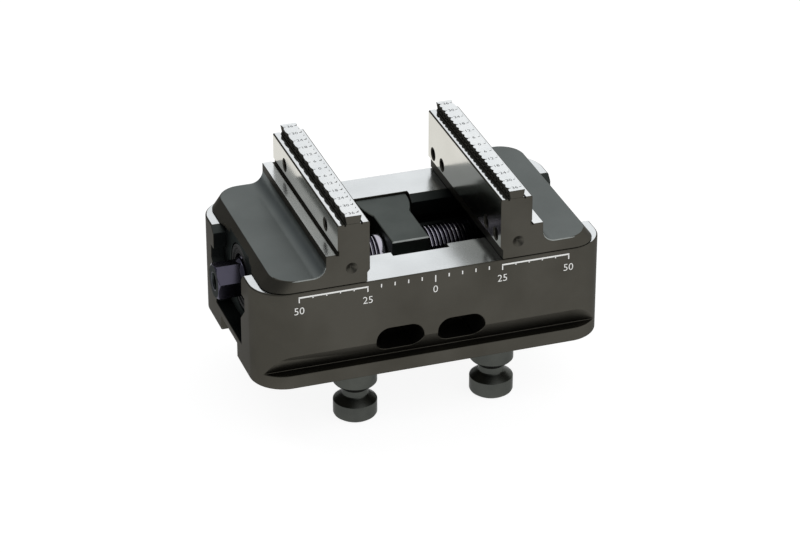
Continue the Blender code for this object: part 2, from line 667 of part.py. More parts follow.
def mirrored(outline, side):
    return [(side * a, b) for a, b in outline]


def guide_outline():
    """The guide's section: it fills the neck and the T-slot, short of the floor."""
    slope = T_SLOT_HALF_WIDTH - CHANNEL_HALF_WIDTH
    half = [
        (NECK_HALF_WIDTH - CLEARANCE, GUIDE_TOP),
        (NECK_HALF_WIDTH - CLEARANCE, T_SLOT_TOP - CLEARANCE),
        (T_SLOT_HALF_WIDTH - CLEARANCE, T_SLOT_TOP - CLEARANCE),
        (T_SLOT_HALF_WIDTH - CLEARANCE, T_SLOT_BOTTOM + CLEARANCE),
        (CHANNEL_HALF_WIDTH - CLEARANCE, T_SLOT_BOTTOM - slope + CLEARANCE),
        (CHANNEL_HALF_WIDTH - CLEARANCE, GUIDE_BOTTOM),
    ]
    return both_sides(half)


def span(side, inner, outer):
    """A stretch along X on one side of the middle, low end first."""
    return sorted((side * inner, side * outer))


def make_jaw(side, word, parts, tools, material):
    half = BASE_WIDTH / 2 + CUT_OVERRUN
    jaw = extrude_outline("jaw_" + word, mirrored(jaw_profile(), side), -half, half, ALONG_Y, parts, material)
    ridge = extrude_outline("add_ridge_" + word, mirrored(ridge_outline(), side),
                            RIDGE_SHELF - CLEARANCE, RIDGE_TOP, ALONG_Z, tools)
    combine(jaw, ridge, "UNION")
    wall_run = (JAW_END - SHOULDER_OUTER) / (SHOULDER_HEIGHT - BASE_HEIGHT)
    foot_end = JAW_END + wall_run * CUT_OVERRUN
    sections = [
        (mirrored(jaw_plan(foot_end, JAW_CORNER_RADIUS), side), BASE_HEIGHT - CUT_OVERRUN),
        (mirrored(jaw_plan(SHOULDER_OUTER, SHOULDER_TOP_RADIUS), side), SHOULDER_HEIGHT),
        (mirrored(jaw_plan(SHOULDER_OUTER, SHOULDER_TOP_RADIUS), side), RIDGE_TOP + CUT_OVERRUN),
    ]
    combine(jaw, loft("keep_jaw_" + word, sections, tools), "INTERSECT")
    guide = extrude_outline("add_guide_" + word, guide_outline(), *span(side, GUIDE_INNER, GUIDE_OUTER),
                            ALONG_X, tools)
    combine(jaw, guide, "UNION")
    half_relief = [*END_RELIEF, (JAW_END + CUT_OVERRUN, END_RELIEF[-1][1])]
    relief = half_relief + [(x, -y) for x, y in reversed(half_relief)]
    cut(jaw, extrude_outline("cut_end_relief_" + word, mirrored(relief, side), 0.0, SHOULDER_HEIGHT,
                             ALONG_Z, tools))
    axis = (0, 0, SPINDLE_HEIGHT)
    along = (side, 0, 0)
    wiper_seat = GUIDE_OUTER - WIPER_THICKNESS - 2 * CLEARANCE
    nut_radius = NUT_RADIUS + CLEARANCE
    bore = [
        (0.0, GUIDE_OUTER + CUT_OVERRUN), (WIPER_RADIUS + CLEARANCE, GUIDE_OUTER + CUT_OVERRUN),
        (WIPER_RADIUS + CLEARANCE, wiper_seat), (WIPER_BORE_RADIUS, wiper_seat),
        (WIPER_BORE_RADIUS, NUT_OUTER_END + CLEARANCE), (nut_radius, NUT_OUTER_END + CLEARANCE),
        (nut_radius, GUIDE_INNER - CUT_OVERRUN), (0.0, GUIDE_INNER - CUT_OVERRUN),
    ]
    cut(jaw, turn_profile("cut_jaw_bore_" + word, bore, ROUND_SIDES, along, axis, tools))
    thread = cylinder_profile(NUT_SCREW_RADIUS + CLEARANCE, GUIDE_BOTTOM - CUT_OVERRUN,
                              SPINDLE_HEIGHT - THREAD_RADIUS)
    cut(jaw, turn_profile("cut_jaw_screw_" + word, thread, SMALL_ROUND_SIDES, (0, 0, 1),
                          (side * NUT_SCREW_X, 0, 0), tools))
    face_holes = (-JAW_FACE_HOLE_FAR_Y, -JAW_FACE_HOLE_NEAR_Y, JAW_FACE_HOLE_NEAR_Y, JAW_FACE_HOLE_FAR_Y)
    for index, y in enumerate(face_holes, 1):
        hole = cylinder_profile(JAW_HOLE_RADIUS, JAW_INNER - CUT_OVERRUN, JAW_INNER + JAW_FACE_HOLE_DEPTH)
        cut(jaw, turn_profile(f"cut_face_hole_{word}_{index}", hole, SMALL_ROUND_SIDES, along,
                              (0, y, JAW_FACE_HOLE_HEIGHT), tools))
    for end, near in ((-1, "front"), (1, "rear")):
        hole = cylinder_profile(JAW_HOLE_RADIUS, JAW_OUTER - JAW_BACK_HOLE_DEPTH, JAW_OUTER + CUT_OVERRUN)
        cut(jaw, turn_profile(f"cut_back_hole_{word}_{near}", hole, SMALL_ROUND_SIDES, along,
                              (0, end * JAW_BACK_HOLE_Y, JAW_BACK_HOLE_HEIGHT), tools))
        cone = [(0.0, half), (JAW_DIMPLE_RADIUS * (1 + CUT_OVERRUN / JAW_DIMPLE_DEPTH), half),
                (0.0, BASE_WIDTH / 2 - JAW_DIMPLE_DEPTH)]
        cut(jaw, turn_profile(f"cut_end_dimple_{word}_{near}", cone, SMALL_ROUND_SIDES, (0, end, 0),
                              (side * JAW_DIMPLE_X, 0, JAW_DIMPLE_HEIGHT), tools))
    return jaw


def make_nut(side, word, parts, material):
    inner = GUIDE_INNER + CLEARANCE
    bore = THREAD_RADIUS + CLEARANCE
    groove = NUT_GROOVE_WIDTH / 2
    lip = NUT_RADIUS - NUT_EDGE_CHAMFER
    profile = [
        (bore, NUT_OUTER_END), (lip, NUT_OUTER_END), (NUT_RADIUS, NUT_OUTER_END - NUT_EDGE_CHAMFER),
        (NUT_RADIUS, NUT_SCREW_X + groove), (NUT_GROOVE_RADIUS, NUT_SCREW_X + groove),
        (NUT_GROOVE_RADIUS, NUT_SCREW_X - groove), (NUT_RADIUS, NUT_SCREW_X - groove),
        (NUT_RADIUS, inner + NUT_EDGE_CHAMFER), (lip, inner), (bore, inner), (bore, NUT_OUTER_END),
    ]
    nut = turn_profile("spindle_nut_" + word, profile, ROUND_SIDES, (side, 0, 0),
                       (0, 0, SPINDLE_HEIGHT), parts, material)
    shade_round(nut)
    return nut


def make_nut_screw(side, word, parts, tools, material):
    place = (side * NUT_SCREW_X, 0.0)
    bottom = GUIDE_BOTTOM + CLEARANCE
    top = SPINDLE_HEIGHT - NUT_GROOVE_RADIUS - CLEARANCE
    name = "nut_screw_" + word
    screw = turn_profile(name, cylinder_profile(NUT_SCREW_RADIUS, bottom, top, CLEARANCE),
                         SMALL_ROUND_SIDES, (0, 0, 1), (*place, 0), parts, material)
    cut(screw, hex_socket("cut_" + name, NUT_SCREW_SOCKET, NUT_SCREW_SOCKET_DEPTH,
                          (*place, bottom), tools))
    shade_round(screw)
    return screw


def make_wiper(side, word, parts, material):
    outer = GUIDE_OUTER - CLEARANCE
    profile = ring_profile(WIPER_RADIUS, WIPER_BORE_RADIUS, outer - WIPER_THICKNESS, outer,
                           WIPER_EDGE_CHAMFER)
    ring = turn_profile("wiper_ring_" + word, profile, ROUND_SIDES, (side, 0, 0),
                        (0, 0, SPINDLE_HEIGHT), parts, material)
    shade_round(ring)
    return ring


def build():
    clear_scene()
    parts = new_collection("self_centring_vise")
    tools = new_collection("construction_tools")
    burnished = finish("burnished_steel")
    screw_steel = finish("screw_steel")
    pin_steel = finish("pin_steel")
    bronze = finish("nut_bronze")
    rubber = finish("wiper_rubber")

    axis = (0, 0, SPINDLE_HEIGHT)
    base = make_base(parts, tools, burnished)
    fixed = [make_block(parts, tools, finish("block_steel"))]
    fixed += [make_stud(word, place, parts, tools, burnished) for word, place in stud_places().items()]
    fixed += [make_block_screw(index, place, parts, tools, screw_steel)
              for index, place in enumerate(block_screw_places(), 1)]
    for side, word in ((-1, "front"), (1, "rear")):
        profile = cylinder_profile(DOWEL_RADIUS, DOWEL_BOTTOM, DOWEL_TOP, DOWEL_CHAMFER)
        pin = turn_profile("dowel_pin_" + word, profile, SMALL_ROUND_SIDES, (0, 0, 1),
                           (0, side * DOWEL_Y, 0), parts, pin_steel)
        shade_round(pin)
        fixed.append(pin)
    for piece in fixed:
        carry(piece, base)

    spindle_axis = empty("spindle_axis", axis, parts, base)
    carry(make_spindle(parts, tools, finish("spindle_steel")), spindle_axis)
    for side, word in ((-1, "left"), (1, "right")):
        middle = side * (GUIDE_INNER + GUIDE_OUTER) / 2
        carriage = empty("carriage_" + word, (middle, 0, SPINDLE_HEIGHT), parts, base)
        pieces = [
            make_jaw(side, word, parts, tools, burnished), make_nut(side, word, parts, bronze),
            make_nut_screw(side, word, parts, tools, screw_steel), make_wiper(side, word, parts, rubber),
        ]
        for piece in pieces:
            carry(piece, carriage)


build()
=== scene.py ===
# %% [markdown]
# # A self-centring vise, finished by hand
# This lesson dresses a small five-axis vise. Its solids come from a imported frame, which fixes
# where every piece is and how it moves. Here each visible piece is modelled again with the
# tools of edit mode, so that it gets real edge breaks, a real thread and its ground faces.
# All sizes are in metres, and `MM` turns a size read off a drawing into them.

# %% Load the frame
import math

import bmesh
import bpy
from mathutils import Matrix, Vector


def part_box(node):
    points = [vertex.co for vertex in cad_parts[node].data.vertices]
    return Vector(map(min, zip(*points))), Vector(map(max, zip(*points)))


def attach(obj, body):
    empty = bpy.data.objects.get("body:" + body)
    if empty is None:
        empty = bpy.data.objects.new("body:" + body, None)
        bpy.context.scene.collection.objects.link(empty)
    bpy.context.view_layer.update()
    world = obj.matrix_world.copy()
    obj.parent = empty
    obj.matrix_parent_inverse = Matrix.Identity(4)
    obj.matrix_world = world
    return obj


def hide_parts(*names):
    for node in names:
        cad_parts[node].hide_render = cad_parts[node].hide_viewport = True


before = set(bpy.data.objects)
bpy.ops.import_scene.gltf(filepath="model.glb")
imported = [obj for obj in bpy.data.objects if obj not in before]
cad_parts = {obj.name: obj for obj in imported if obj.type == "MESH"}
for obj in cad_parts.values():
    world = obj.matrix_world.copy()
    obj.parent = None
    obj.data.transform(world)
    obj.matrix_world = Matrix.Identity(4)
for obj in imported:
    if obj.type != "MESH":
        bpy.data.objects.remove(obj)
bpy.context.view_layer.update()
MM = 0.001
print("nodes in the frame:", len(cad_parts))

# %% [markdown]
# ## Reading the driving sizes
# A piece that replaces a solid has to stay where that solid is. So the sizes that place the
# pieces are read from the frame's boxes, and only the small inner sizes are written here.

# %% Driving sizes from the frame
base_low, base_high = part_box("base_body")
HALF_LENGTH, HALF_WIDTH, RAIL_TOP = base_high
jaw_low, jaw_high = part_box("jaw_right")
JAW_INNER, JAW_END, RIDGE_TOP = jaw_low.x, jaw_high.x, jaw_high.z
nut_low, nut_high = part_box("spindle_nut_right")
AXIS_HEIGHT = (nut_low.z + nut_high.z) / 2
spindle_low, spindle_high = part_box("spindle")
stud_low, stud_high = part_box("pull_stud_front_left")
STUD_X, STUD_Y = -(stud_low.x + stud_high.x) / 2, -(stud_low.y + stud_high.y) / 2
FLOOR_HEIGHT = stud_low.z
# FIT is the clearance between pieces that slide, and OVERRUN how far a cutter passes a face.
FIT, OVERRUN = 0.3 * MM, 2 * MM
print("rail top", round(RAIL_TOP / MM, 2), "spindle axis", round(AXIS_HEIGHT / MM, 2))

# %% [markdown]
# ## Tools for modelling by hand
# In the window a modeller picks faces with the mouse. In a script they are picked by a test
# on their place and direction. `start_edit`, `pick` and `end_edit` do that, and every
# operator between them acts on what was picked. A direction counts as along an axis where its
# part on that axis is over `ALONG`, and as across it where that part is under `ACROSS`.


# %% Picking in edit mode
ALONG, ACROSS = 0.9, 0.1
SLACK = 0.1 * MM


def select_only(*pieces):
    """Selects pieces and nothing else. The first one is the active one."""
    bpy.ops.object.select_all(action="DESELECT")
    for piece in pieces:
        piece.select_set(True)
    bpy.context.view_layer.objects.active = pieces[0]


def start_edit(piece):
    select_only(piece)
    bpy.ops.object.mode_set(mode="EDIT")


def end_edit():
    bpy.ops.object.mode_set(mode="OBJECT")


def pick(kind, test):
    """Selects the faces, edges or vertices that pass test(place, direction)."""
    bpy.ops.mesh.select_mode(type=kind)
    bpy.ops.mesh.select_all(action="DESELECT")
    shape = bmesh.from_edit_mesh(bpy.context.object.data)
    picked = 0
    for part in {"FACE": shape.faces, "EDGE": shape.edges, "VERT": shape.verts}[kind]:
        if kind == "EDGE":
            first, second = (corner.co for corner in part.verts)
            place, way = (first + second) / 2, (second - first).normalized()
        else:
            place = part.co if kind == "VERT" else part.calc_center_median()
            way = part.normal
        if test(place, way):
            part.select_set(True)
            picked += 1
    shape.select_flush_mode()
    bmesh.update_edit_mesh(bpy.context.object.data)
    return picked


def pick_all():
    bpy.ops.mesh.select_all(action="SELECT")


def face_outwards():
    pick_all()
    bpy.ops.mesh.normals_make_consistent(inside=False)


def near(value, target, reach=0.02 * MM):
    return abs(value - target) < reach


# %% [markdown]
# ## Blocks, turned shapes and cuts
# Milled pieces start as a cube at its final size, turned pieces as a filled circle that is
# extruded and scaled from ring to ring, as a lathe hand reads a drawing. A cut is a Boolean
# that is applied at once, so the finished piece holds nothing but its own mesh.


# %% Starting shapes
def apply_place():
    bpy.ops.object.transform_apply(location=True, rotation=True, scale=True)


def block(name, low, high):
    low, high = Vector(low), Vector(high)
    bpy.ops.object.select_all(action="DESELECT")
    bpy.ops.mesh.primitive_cube_add(size=1, location=(low + high) / 2, scale=high - low)
    piece = bpy.context.object
    piece.name = name
    apply_place()
    return piece


def extrude(dx=0.0, dy=0.0, dz=0.0):
    bpy.ops.mesh.extrude_region_move(TRANSFORM_OT_translate={"value": (dx, dy, dz)})


def shift(dx=0.0, dy=0.0, dz=0.0):
    bpy.ops.transform.translate(value=(dx, dy, dz))


def scale_about(centre, x=1.0, y=1.0, z=1.0):
    bpy.ops.transform.resize(value=(x, y, z), center_override=centre)


def aim(piece, direction, place=(0, 0, 0)):
    """Turns a piece that was made upright to point along a direction, and places it."""
    turn = Vector((0, 0, 1)).rotation_difference(Vector(direction)).to_matrix().to_4x4()
    piece.matrix_world = Matrix.Translation(place) @ turn
    select_only(piece)
    apply_place()
    return piece


def turned(name, rings, direction=(0, 0, 1), place=(0, 0, 0), sides=64, hollow=False):
    """A lathe piece from (radius, height) rings. A hollow one ends where it starts."""
    radius, height = rings[0]
    bpy.ops.object.select_all(action="DESELECT")
    bpy.ops.mesh.primitive_circle_add(vertices=sides, radius=radius, location=(0, 0, height),
                                      fill_type="NOTHING" if hollow else "NGON")
    piece = bpy.context.object
    piece.name = name
    apply_place()
    start_edit(piece)
    bpy.ops.mesh.select_mode(type="EDGE" if hollow else "FACE")
    pick_all()
    for next_radius, next_height in rings[1:]:
        extrude(dz=next_height - height)
        ratio = next_radius / radius
        scale_about((0, 0, next_height), x=ratio, y=ratio)
        radius, height = next_radius, next_height
    pick_all()
    bpy.ops.mesh.remove_doubles(threshold=0.001 * MM)
    face_outwards()
    end_edit()
    return aim(piece, direction, place)


# %% Cutting, joining and softening
def apply_all(piece):
    select_only(piece)
    for modifier in list(piece.modifiers):
        bpy.ops.object.modifier_apply(modifier=modifier.name)


def shape_with(piece, tool, operation="DIFFERENCE"):
    change = piece.modifiers.new(tool.name, "BOOLEAN")
    change.operation = operation
    change.solver = "EXACT"
    change.object = tool
    apply_all(piece)
    bpy.data.objects.remove(tool, do_unlink=True)


def round_edges(test, radius, steps):
    """Bevels the edges that pass a test and says how many there were."""
    count = pick("EDGE", test)
    bpy.ops.mesh.bevel(offset=radius, segments=steps, affect="EDGES")
    return count


FLAT_ANGLE = math.radians(0.5)


def merge_flat_faces(piece):
    """Clears the stray vertices and split faces that Booleans leave on flat ground."""
    start_edit(piece)
    pick_all()
    bpy.ops.mesh.remove_doubles(threshold=0.02 * MM)
    bpy.ops.mesh.dissolve_limited(angle_limit=FLAT_ANGLE)
    end_edit()


def break_edges(piece, width=0.15 * MM, angle=40.0):
    """Every sharp machined edge is broken a little, which is what catches the light."""
    merge_flat_faces(piece)
    bevel = piece.modifiers.new("Broken edges", "BEVEL")
    bevel.width = width
    bevel.segments = 1
    bevel.limit_method = "ANGLE"
    bevel.angle_limit = math.radians(angle)
    bevel.use_clamp_overlap = False
    apply_all(piece)


def shade(piece, angle=30.0):
    """Round faces shade smoothly, and the area-weighted normals keep the flat ones flat."""
    select_only(piece)
    bpy.ops.object.shade_smooth_by_angle(angle=math.radians(angle))
    weighted = piece.modifiers.new("Flat faces stay flat", "WEIGHTED_NORMAL")
    weighted.keep_sharp = True
    weighted.weight = 100
    apply_all(piece)


def open_edges(piece):
    """How many edges don't join exactly two faces. A closed solid has none."""
    shape = bmesh.new()
    shape.from_mesh(piece.data)
    count = sum(not edge.is_manifold for edge in shape.edges)
    shape.free()
    return count


def cut_hex_socket(piece, foot, flats, depth, place=(0, 0, 0)):
    """A hexagon socket of a given width across flats, cut upwards from a piece's foot."""
    corner = flats / math.sqrt(3)
    shape_with(piece, turned("key_socket", [(corner, foot - MM), (corner, foot + depth)],
                             place=place, sides=6))


def join_all(name, pieces):
    """Joins pieces into the first one and names the result."""
    select_only(*pieces)
    bpy.ops.object.join()
    pieces[0].name = name
    return pieces[0]


def copy_piece(piece, name):
    twin = piece.copy()
    twin.data = piece.data.copy()
    twin.name = name
    bpy.context.scene.collection.objects.link(twin)
    return twin


def mirror_across(piece, x=1, y=1):
    """Flips a copy through the middle plane and turns its faces outwards again."""
    piece.data.transform(Matrix.Diagonal((x, y, 1, 1)))
    start_edit(piece)
    face_outwards()
    end_edit()
    return piece


# %% [markdown]
# ## Finishes
# The vise is one steel in several states. Most of it is burnished, a thin dark brown-black
# oxide that lets the milling show. The rails, ledges and ridge tops are ground bright after
# that, and the gripping faces are polished. A metal takes its colour from its reflections,
# so the base colour is the brightest grey it can reach, and roughness does the rest.


# %% Colour and node helpers
def linear(code):
    """An sRGB hex colour as the linear values that the shader reads."""
    channels = [int(code[i:i + 2], 16) / 255 for i in (1, 3, 5)]
    return (*[c / 12.92 if c <= 0.04045 else ((c + 0.055) / 1.055) ** 2.4 for c in channels], 1.0)


def add_node(material, kind, settings=None, values=None, links=None):
    """Adds one node, sets its properties and inputs, and links other sockets into it."""
    node = material.node_tree.nodes.new(kind)
    for name, value in (settings or {}).items():
        setattr(node, name, value)
    for name, value in (values or {}).items():
        node.inputs[name].default_value = value
    for name, socket in (links or {}).items():
        material.node_tree.links.new(socket, node.inputs[name])
    return node


def ramp(material, factor, stops):
    node = add_node(material, "ShaderNodeValToRGB", links={"Fac": factor})
    while len(node.color_ramp.elements) < len(stops):
        node.color_ramp.elements.new(0.5)
    for element, (position, colour) in zip(node.color_ramp.elements, stops):
        element.position = position
        element.color = colour
    return node.outputs["Color"]


def new_material(name, roughness, metallic, grazing=1.0):
    """A plain material. Below 1, grazing dims the sheen that a metal shows at its outline."""
    material = bpy.data.materials.new(name)
    material.use_nodes = True
    shader = material.node_tree.nodes["Principled BSDF"]
    shader.inputs["Metallic"].default_value = metallic
    shader.inputs["Roughness"].default_value = roughness
    shader.inputs["Specular Tint"].default_value = (grazing, grazing, grazing, 1.0)
    return material, shader


def machined_metal(name, dark, light, rough_low, rough_high, stretch, cloud_size, grain_size, bump,
                   grazing=1.0):
    """Steel whose colour clouds slowly and whose roughness follows fine tool marks.

    stretch scales the pattern per axis: a large number across the marks, a small one along.
    """
    material, shader = new_material(name, (rough_low + rough_high) / 2, 1.0, grazing)
    place = add_node(material, "ShaderNodeTexCoord").outputs["Object"]
    clouds = add_node(material, "ShaderNodeTexNoise", values={"Scale": 1 / cloud_size, "Detail": 3.0},
                      links={"Vector": place})
    colour = ramp(material, clouds.outputs["Fac"], [(0.35, linear(dark)), (0.65, linear(light))])
    material.node_tree.links.new(colour, shader.inputs["Base Color"])
    lay = add_node(material, "ShaderNodeMapping", values={"Scale": stretch}, links={"Vector": place})
    marks = add_node(material, "ShaderNodeTexNoise", values={"Scale": 1 / grain_size, "Detail": 4.0},
                     links={"Vector": lay.outputs["Vector"]})
    rough = add_node(material, "ShaderNodeMapRange",
                     values={"To Min": rough_low, "To Max": rough_high},
                     links={"Value": marks.outputs["Fac"]})
    material.node_tree.links.new(rough.outputs["Result"], shader.inputs["Roughness"])
    relief = add_node(material, "ShaderNodeBump", values={"Strength": bump, "Distance": 0.01 * MM},
                      links={"Height": marks.outputs["Fac"]})
    material.node_tree.links.new(relief.outputs["Normal"], shader.inputs["Normal"])
    return material


# %% The steels
# Burnished steel: dark oxide over milling marks about 0.3 mm apart, drawn along X.
BURNISHED = machined_metal("burnished_steel", "#46443e", "#4e4c46", 0.38, 0.50,
                           (0.25, 1.0, 1.0), 22 * MM, 0.30 * MM, 0.25, 0.5)
# The jaws' shoulders and fillets face up and are painted lighter and bluer than the other burnished
# faces, a painted lit copy of the oxide, with a finer milled surface.
SHOULDER_PAINTED_LIGHT = machined_metal("shoulder_painted_lighter", "#6f7473", "#767b7a", 0.36, 0.46,
                          (1.0, 0.25, 1.0), 20 * MM, 0.30 * MM, 0.20, 0.5)
# Slots, guides and the drive socket are painted darker than the outside: painted shade in the recesses.
RECESS_SHADE = machined_metal("recess_painted_shade", "#303433", "#3a3e3d", 0.34, 0.46,
                      (0.25, 1.0, 1.0), 15 * MM, 0.30 * MM, 0.20, 0.4)
# Block steel: the same oxide, greener and smoother.
BLOCK = machined_metal("burnished_block", "#575c5a", "#5f6462", 0.32, 0.42,
                       (1.0, 0.3, 1.0), 15 * MM, 0.30 * MM, 0.20, 0.5)
# Stud steel: turned and oxidised, with the lathe's fine rings.
TURNED = machined_metal("turned_steel", "#454744", "#4e504c", 0.24, 0.34,
                        (0.3, 0.3, 1.0), 9 * MM, 0.20 * MM, 0.15, 0.6)
# Ground steel: bright, with grinding lines along X on the rails. The real lines are a few
# hundredths of a millimetre apart, and are drawn at 0.15 mm so that they show.
GROUND = machined_metal("ground_steel", "#dde1e3", "#e6eaec", 0.18, 0.26,
                        (0.04, 1.0, 1.0), 18 * MM, 0.15 * MM, 0.12)
# Ground across the jaws, for the steps and ridge tops.
GROUND_ACROSS = machined_metal("ground_steel_across", "#e8ecee", "#f0f3f4", 0.17, 0.24,
                               (1.0, 0.06, 1.0), 12 * MM, 0.15 * MM, 0.08)
# Lapped steel: the ledges beside the ridges, which mirror the teeth above them.
LAPPED = machined_metal("lapped_steel", "#e4e8ea", "#eceff1", 0.06, 0.10,
                        (1.0, 0.06, 1.0), 12 * MM, 0.15 * MM, 0.04)
# Polished steel: the gripping plates, smooth enough to mirror the rails.
POLISHED = machined_metal("polished_steel", "#c3c1b7", "#cac8be", 0.13, 0.18,
                          (1.0, 0.2, 0.2), 25 * MM, 0.25 * MM, 0.03)
# Rim steel: the upward faces of the rounded rims are painted light grey, a painted highlight, and show as
# thin bright lines.
RIM_HIGHLIGHT = machined_metal("rim_painted_highlight", "#8d918f", "#9a9e9c", 0.30, 0.40,
                      (1.0, 1.0, 1.0), 5 * MM, 0.30 * MM, 0.10)
# Spindle steel: burnished with a violet cast. The thread's crests and the collar are painted bright, a
# painted highlight.
SPINDLE = machined_metal("spindle_steel", "#4a4855", "#514f5c", 0.16, 0.26,
                         (0.6, 1.0, 1.0), 8 * MM, 0.20 * MM, 0.10, 0.6)
CREST_HIGHLIGHT = machined_metal("crest_painted_highlight", "#b0aeba", "#c2c0cb", 0.10, 0.16,
                        (0.6, 1.0, 1.0), 6 * MM, 0.20 * MM, 0.08, 0.8)
# Black oxide screws, bronze nuts and ground pins.
SCREW = machined_metal("black_oxide_screw", "#2c2c2e", "#363638", 0.34, 0.48,
                       (1.0, 1.0, 0.4), 5 * MM, 0.20 * MM, 0.20, 0.5)
BRONZE = machined_metal("turned_bronze", "#a98452", "#c29a64", 0.24, 0.36,
                        (0.4, 1.0, 1.0), 7 * MM, 0.20 * MM, 0.20)
PIN = machined_metal("ground_pin", "#c4c6c8", "#d4d6d8", 0.18, 0.28,
                     (1.0, 1.0, 0.2), 4 * MM, 0.15 * MM, 0.10)


# %% Paint and rubber
def matt_material(name, dark, light, roughness, cloud_size):
    material, shader = new_material(name, roughness, 0.0)
    shader.inputs["Specular IOR Level"].default_value = 0.1
    place = add_node(material, "ShaderNodeTexCoord").outputs["Object"]
    clouds = add_node(material, "ShaderNodeTexNoise", values={"Scale": 1 / cloud_size, "Detail": 5.0},
                      links={"Vector": place})
    colour = ramp(material, clouds.outputs["Fac"], [(0.3, linear(dark)), (0.7, linear(light))])
    material.node_tree.links.new(colour, shader.inputs["Base Color"])
    relief = add_node(material, "ShaderNodeBump", values={"Strength": 0.2, "Distance": 0.02 * MM},
                      links={"Height": clouds.outputs["Fac"]})
    material.node_tree.links.new(relief.outputs["Normal"], shader.inputs["Normal"])
    return material


WHITE_FILL = matt_material("white_engraving_paint", "#e9e9e6", "#f6f6f4", 0.55, 0.4 * MM)
DARK_MARK = matt_material("laser_marking", "#1c1f22", "#303438", 0.60, 0.3 * MM)
RUBBER = matt_material("wiper_rubber", "#060607", "#0c0c0d", 0.55, 0.5 * MM)


def paint(piece, *rules):
    """Gives each face the last material whose test(place, normal) it passes."""
    piece.data.materials.clear()
    for material, _ in rules:
        piece.data.materials.append(material)
    for face in piece.data.polygons:
        for index, (_, test) in enumerate(rules):
            if test(face.center, face.normal):
                face.material_index = index


def anywhere(place, normal):
    return True


def finish_piece(piece, body, slot_name, *nodes):
    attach(piece, body)
    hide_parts(*nodes)
    print(piece.name, "faces:", len(piece.data.polygons), "open edges:", open_edges(piece))


def finish_small(piece, material, body, slot_name, node):
    """Finishes a small piece that is made of one material."""
    shade(piece)
    paint(piece, (material, anywhere))
    finish_piece(piece, body, slot_name, node)


# %% [markdown]
# ## Base body
# The real base is one milled block. A cube is given its rounded corners and a chamfered rim
# first, because bevels work best on clean edges, and is then cut as on the machine: the
# T-slot with one long cutter, the seat of the bearing block, the grip grooves, chip slots,
# end notches and the holes in the underside.

# %% Base block
CORNER = 12.5 * MM
RIM = 0.5 * MM
base = block("base_body_milled", base_low, base_high)
start_edit(base)
print("corners:", round_edges(lambda place, way: abs(way.z) > ALONG, CORNER, 20))
for height in (RAIL_TOP, base_low.z):
    round_edges(lambda place, way: abs(way.z) < ACROSS and near(place.z, height), RIM, 2)
end_edit()

# %% T-slot cutter
NECK = 17.9 * MM
SLOT_HALF, SLOT_LOW, SLOT_HIGH = 21.6 * MM, 24.6 * MM, 29.5 * MM
CHANNEL, CHANNEL_FLOOR = 16.4 * MM, 8.5 * MM
MOUTH = 2.4 * MM


def t_section(name, start, end, gap, floor, top, mouth=0.0):
    """A bar with the channel's section, made smaller all round by a gap, up to a top height.

    With a mouth, the last stretch widens at 45 degrees, as the slot's chamfered edges do.
    """
    slope = SLOT_HALF - CHANNEL
    bar = block(name, (start, -SLOT_HALF + gap, SLOT_LOW + gap),
                (end, SLOT_HALF - gap, SLOT_HIGH - gap))
    start_edit(bar)
    pick("FACE", lambda place, way: way.z < -ALONG)
    extrude(dz=-slope)
    scale_about((0, 0, 0), y=(CHANNEL - gap) / (SLOT_HALF - gap))
    extrude(dz=floor - (SLOT_LOW + gap - slope))
    end_edit()
    neck = block("neck", (start, -NECK + gap, SLOT_LOW + MM), (end, NECK - gap, top - mouth))
    if mouth:
        start_edit(neck)
        pick("FACE", lambda place, way: way.z > ALONG)
        extrude(dz=mouth)
        scale_about((0, 0, 0), y=(NECK + mouth) / NECK)
        end_edit()
    shape_with(bar, neck, "UNION")
    return bar


REACH_X, REACH_Y = HALF_LENGTH + OVERRUN, HALF_WIDTH + OVERRUN
shape_with(base, t_section("t_slot_cutter", -REACH_X, REACH_X, 0.0, CHANNEL_FLOOR,
                           RAIL_TOP + OVERRUN, MOUTH + OVERRUN))
print("faces of the slotted base:", len(base.data.polygons))

# %% Seat, slots, notches and grooves
SEAT_X, SEAT_Y, SEAT_FLOOR = 10.4 * MM, 23.0 * MM, 22.0 * MM
shape_with(base, block("seat_cutter", (-SEAT_X, -SEAT_Y, SEAT_FLOOR),
                       (SEAT_X, SEAT_Y, RAIL_TOP + OVERRUN)))
SLOT_LENGTH, SLOT_TALL, SLOT_FOOT = 17.8 * MM, 10.0 * MM, 8.2 * MM
CHIP_SLOTS = (-12.9 * MM, 10.0 * MM)
# A bevel as wide as half the slot would meet itself, so it stops a hair short.
HAIR = 0.01 * MM
for centre in CHIP_SLOTS:
    slot_cutter = block("chip_slot_cutter", (centre - SLOT_LENGTH / 2, -REACH_Y, SLOT_FOOT),
                        (centre + SLOT_LENGTH / 2, REACH_Y, SLOT_FOOT + SLOT_TALL))
    start_edit(slot_cutter)
    round_edges(lambda place, way: abs(way.y) > ALONG, SLOT_TALL / 2 - HAIR, 16)
    end_edit()
    shape_with(base, slot_cutter)
NOTCH_Y, NOTCH_TALL, NOTCH_LONG = 10.4 * MM, 5.8 * MM, 14.0 * MM
for side in (-1, 1):
    ends = sorted((side * (HALF_LENGTH - NOTCH_LONG), side * REACH_X))
    shape_with(base, block("notch_cutter", (ends[0], -NOTCH_Y, -OVERRUN),
                           (ends[1], NOTCH_Y, NOTCH_TALL)))
GRIP_LOW, GRIP_HIGH, GRIP_DEEP = 5.3 * MM, 13.0 * MM, 4.5 * MM
for side in (-1, 1):
    inner = side * (HALF_WIDTH - GRIP_DEEP)
    walls = sorted((inner, side * REACH_Y))
    wedge = block("grip_cutter", (-REACH_X, walls[0], GRIP_LOW), (REACH_X, walls[1], GRIP_HIGH))
    start_edit(wedge)
    pick("VERT", lambda place, way: near(place.y, inner) and near(place.z, GRIP_HIGH))
    shift(dy=side * GRIP_DEEP)
    end_edit()
    shape_with(base, wedge)

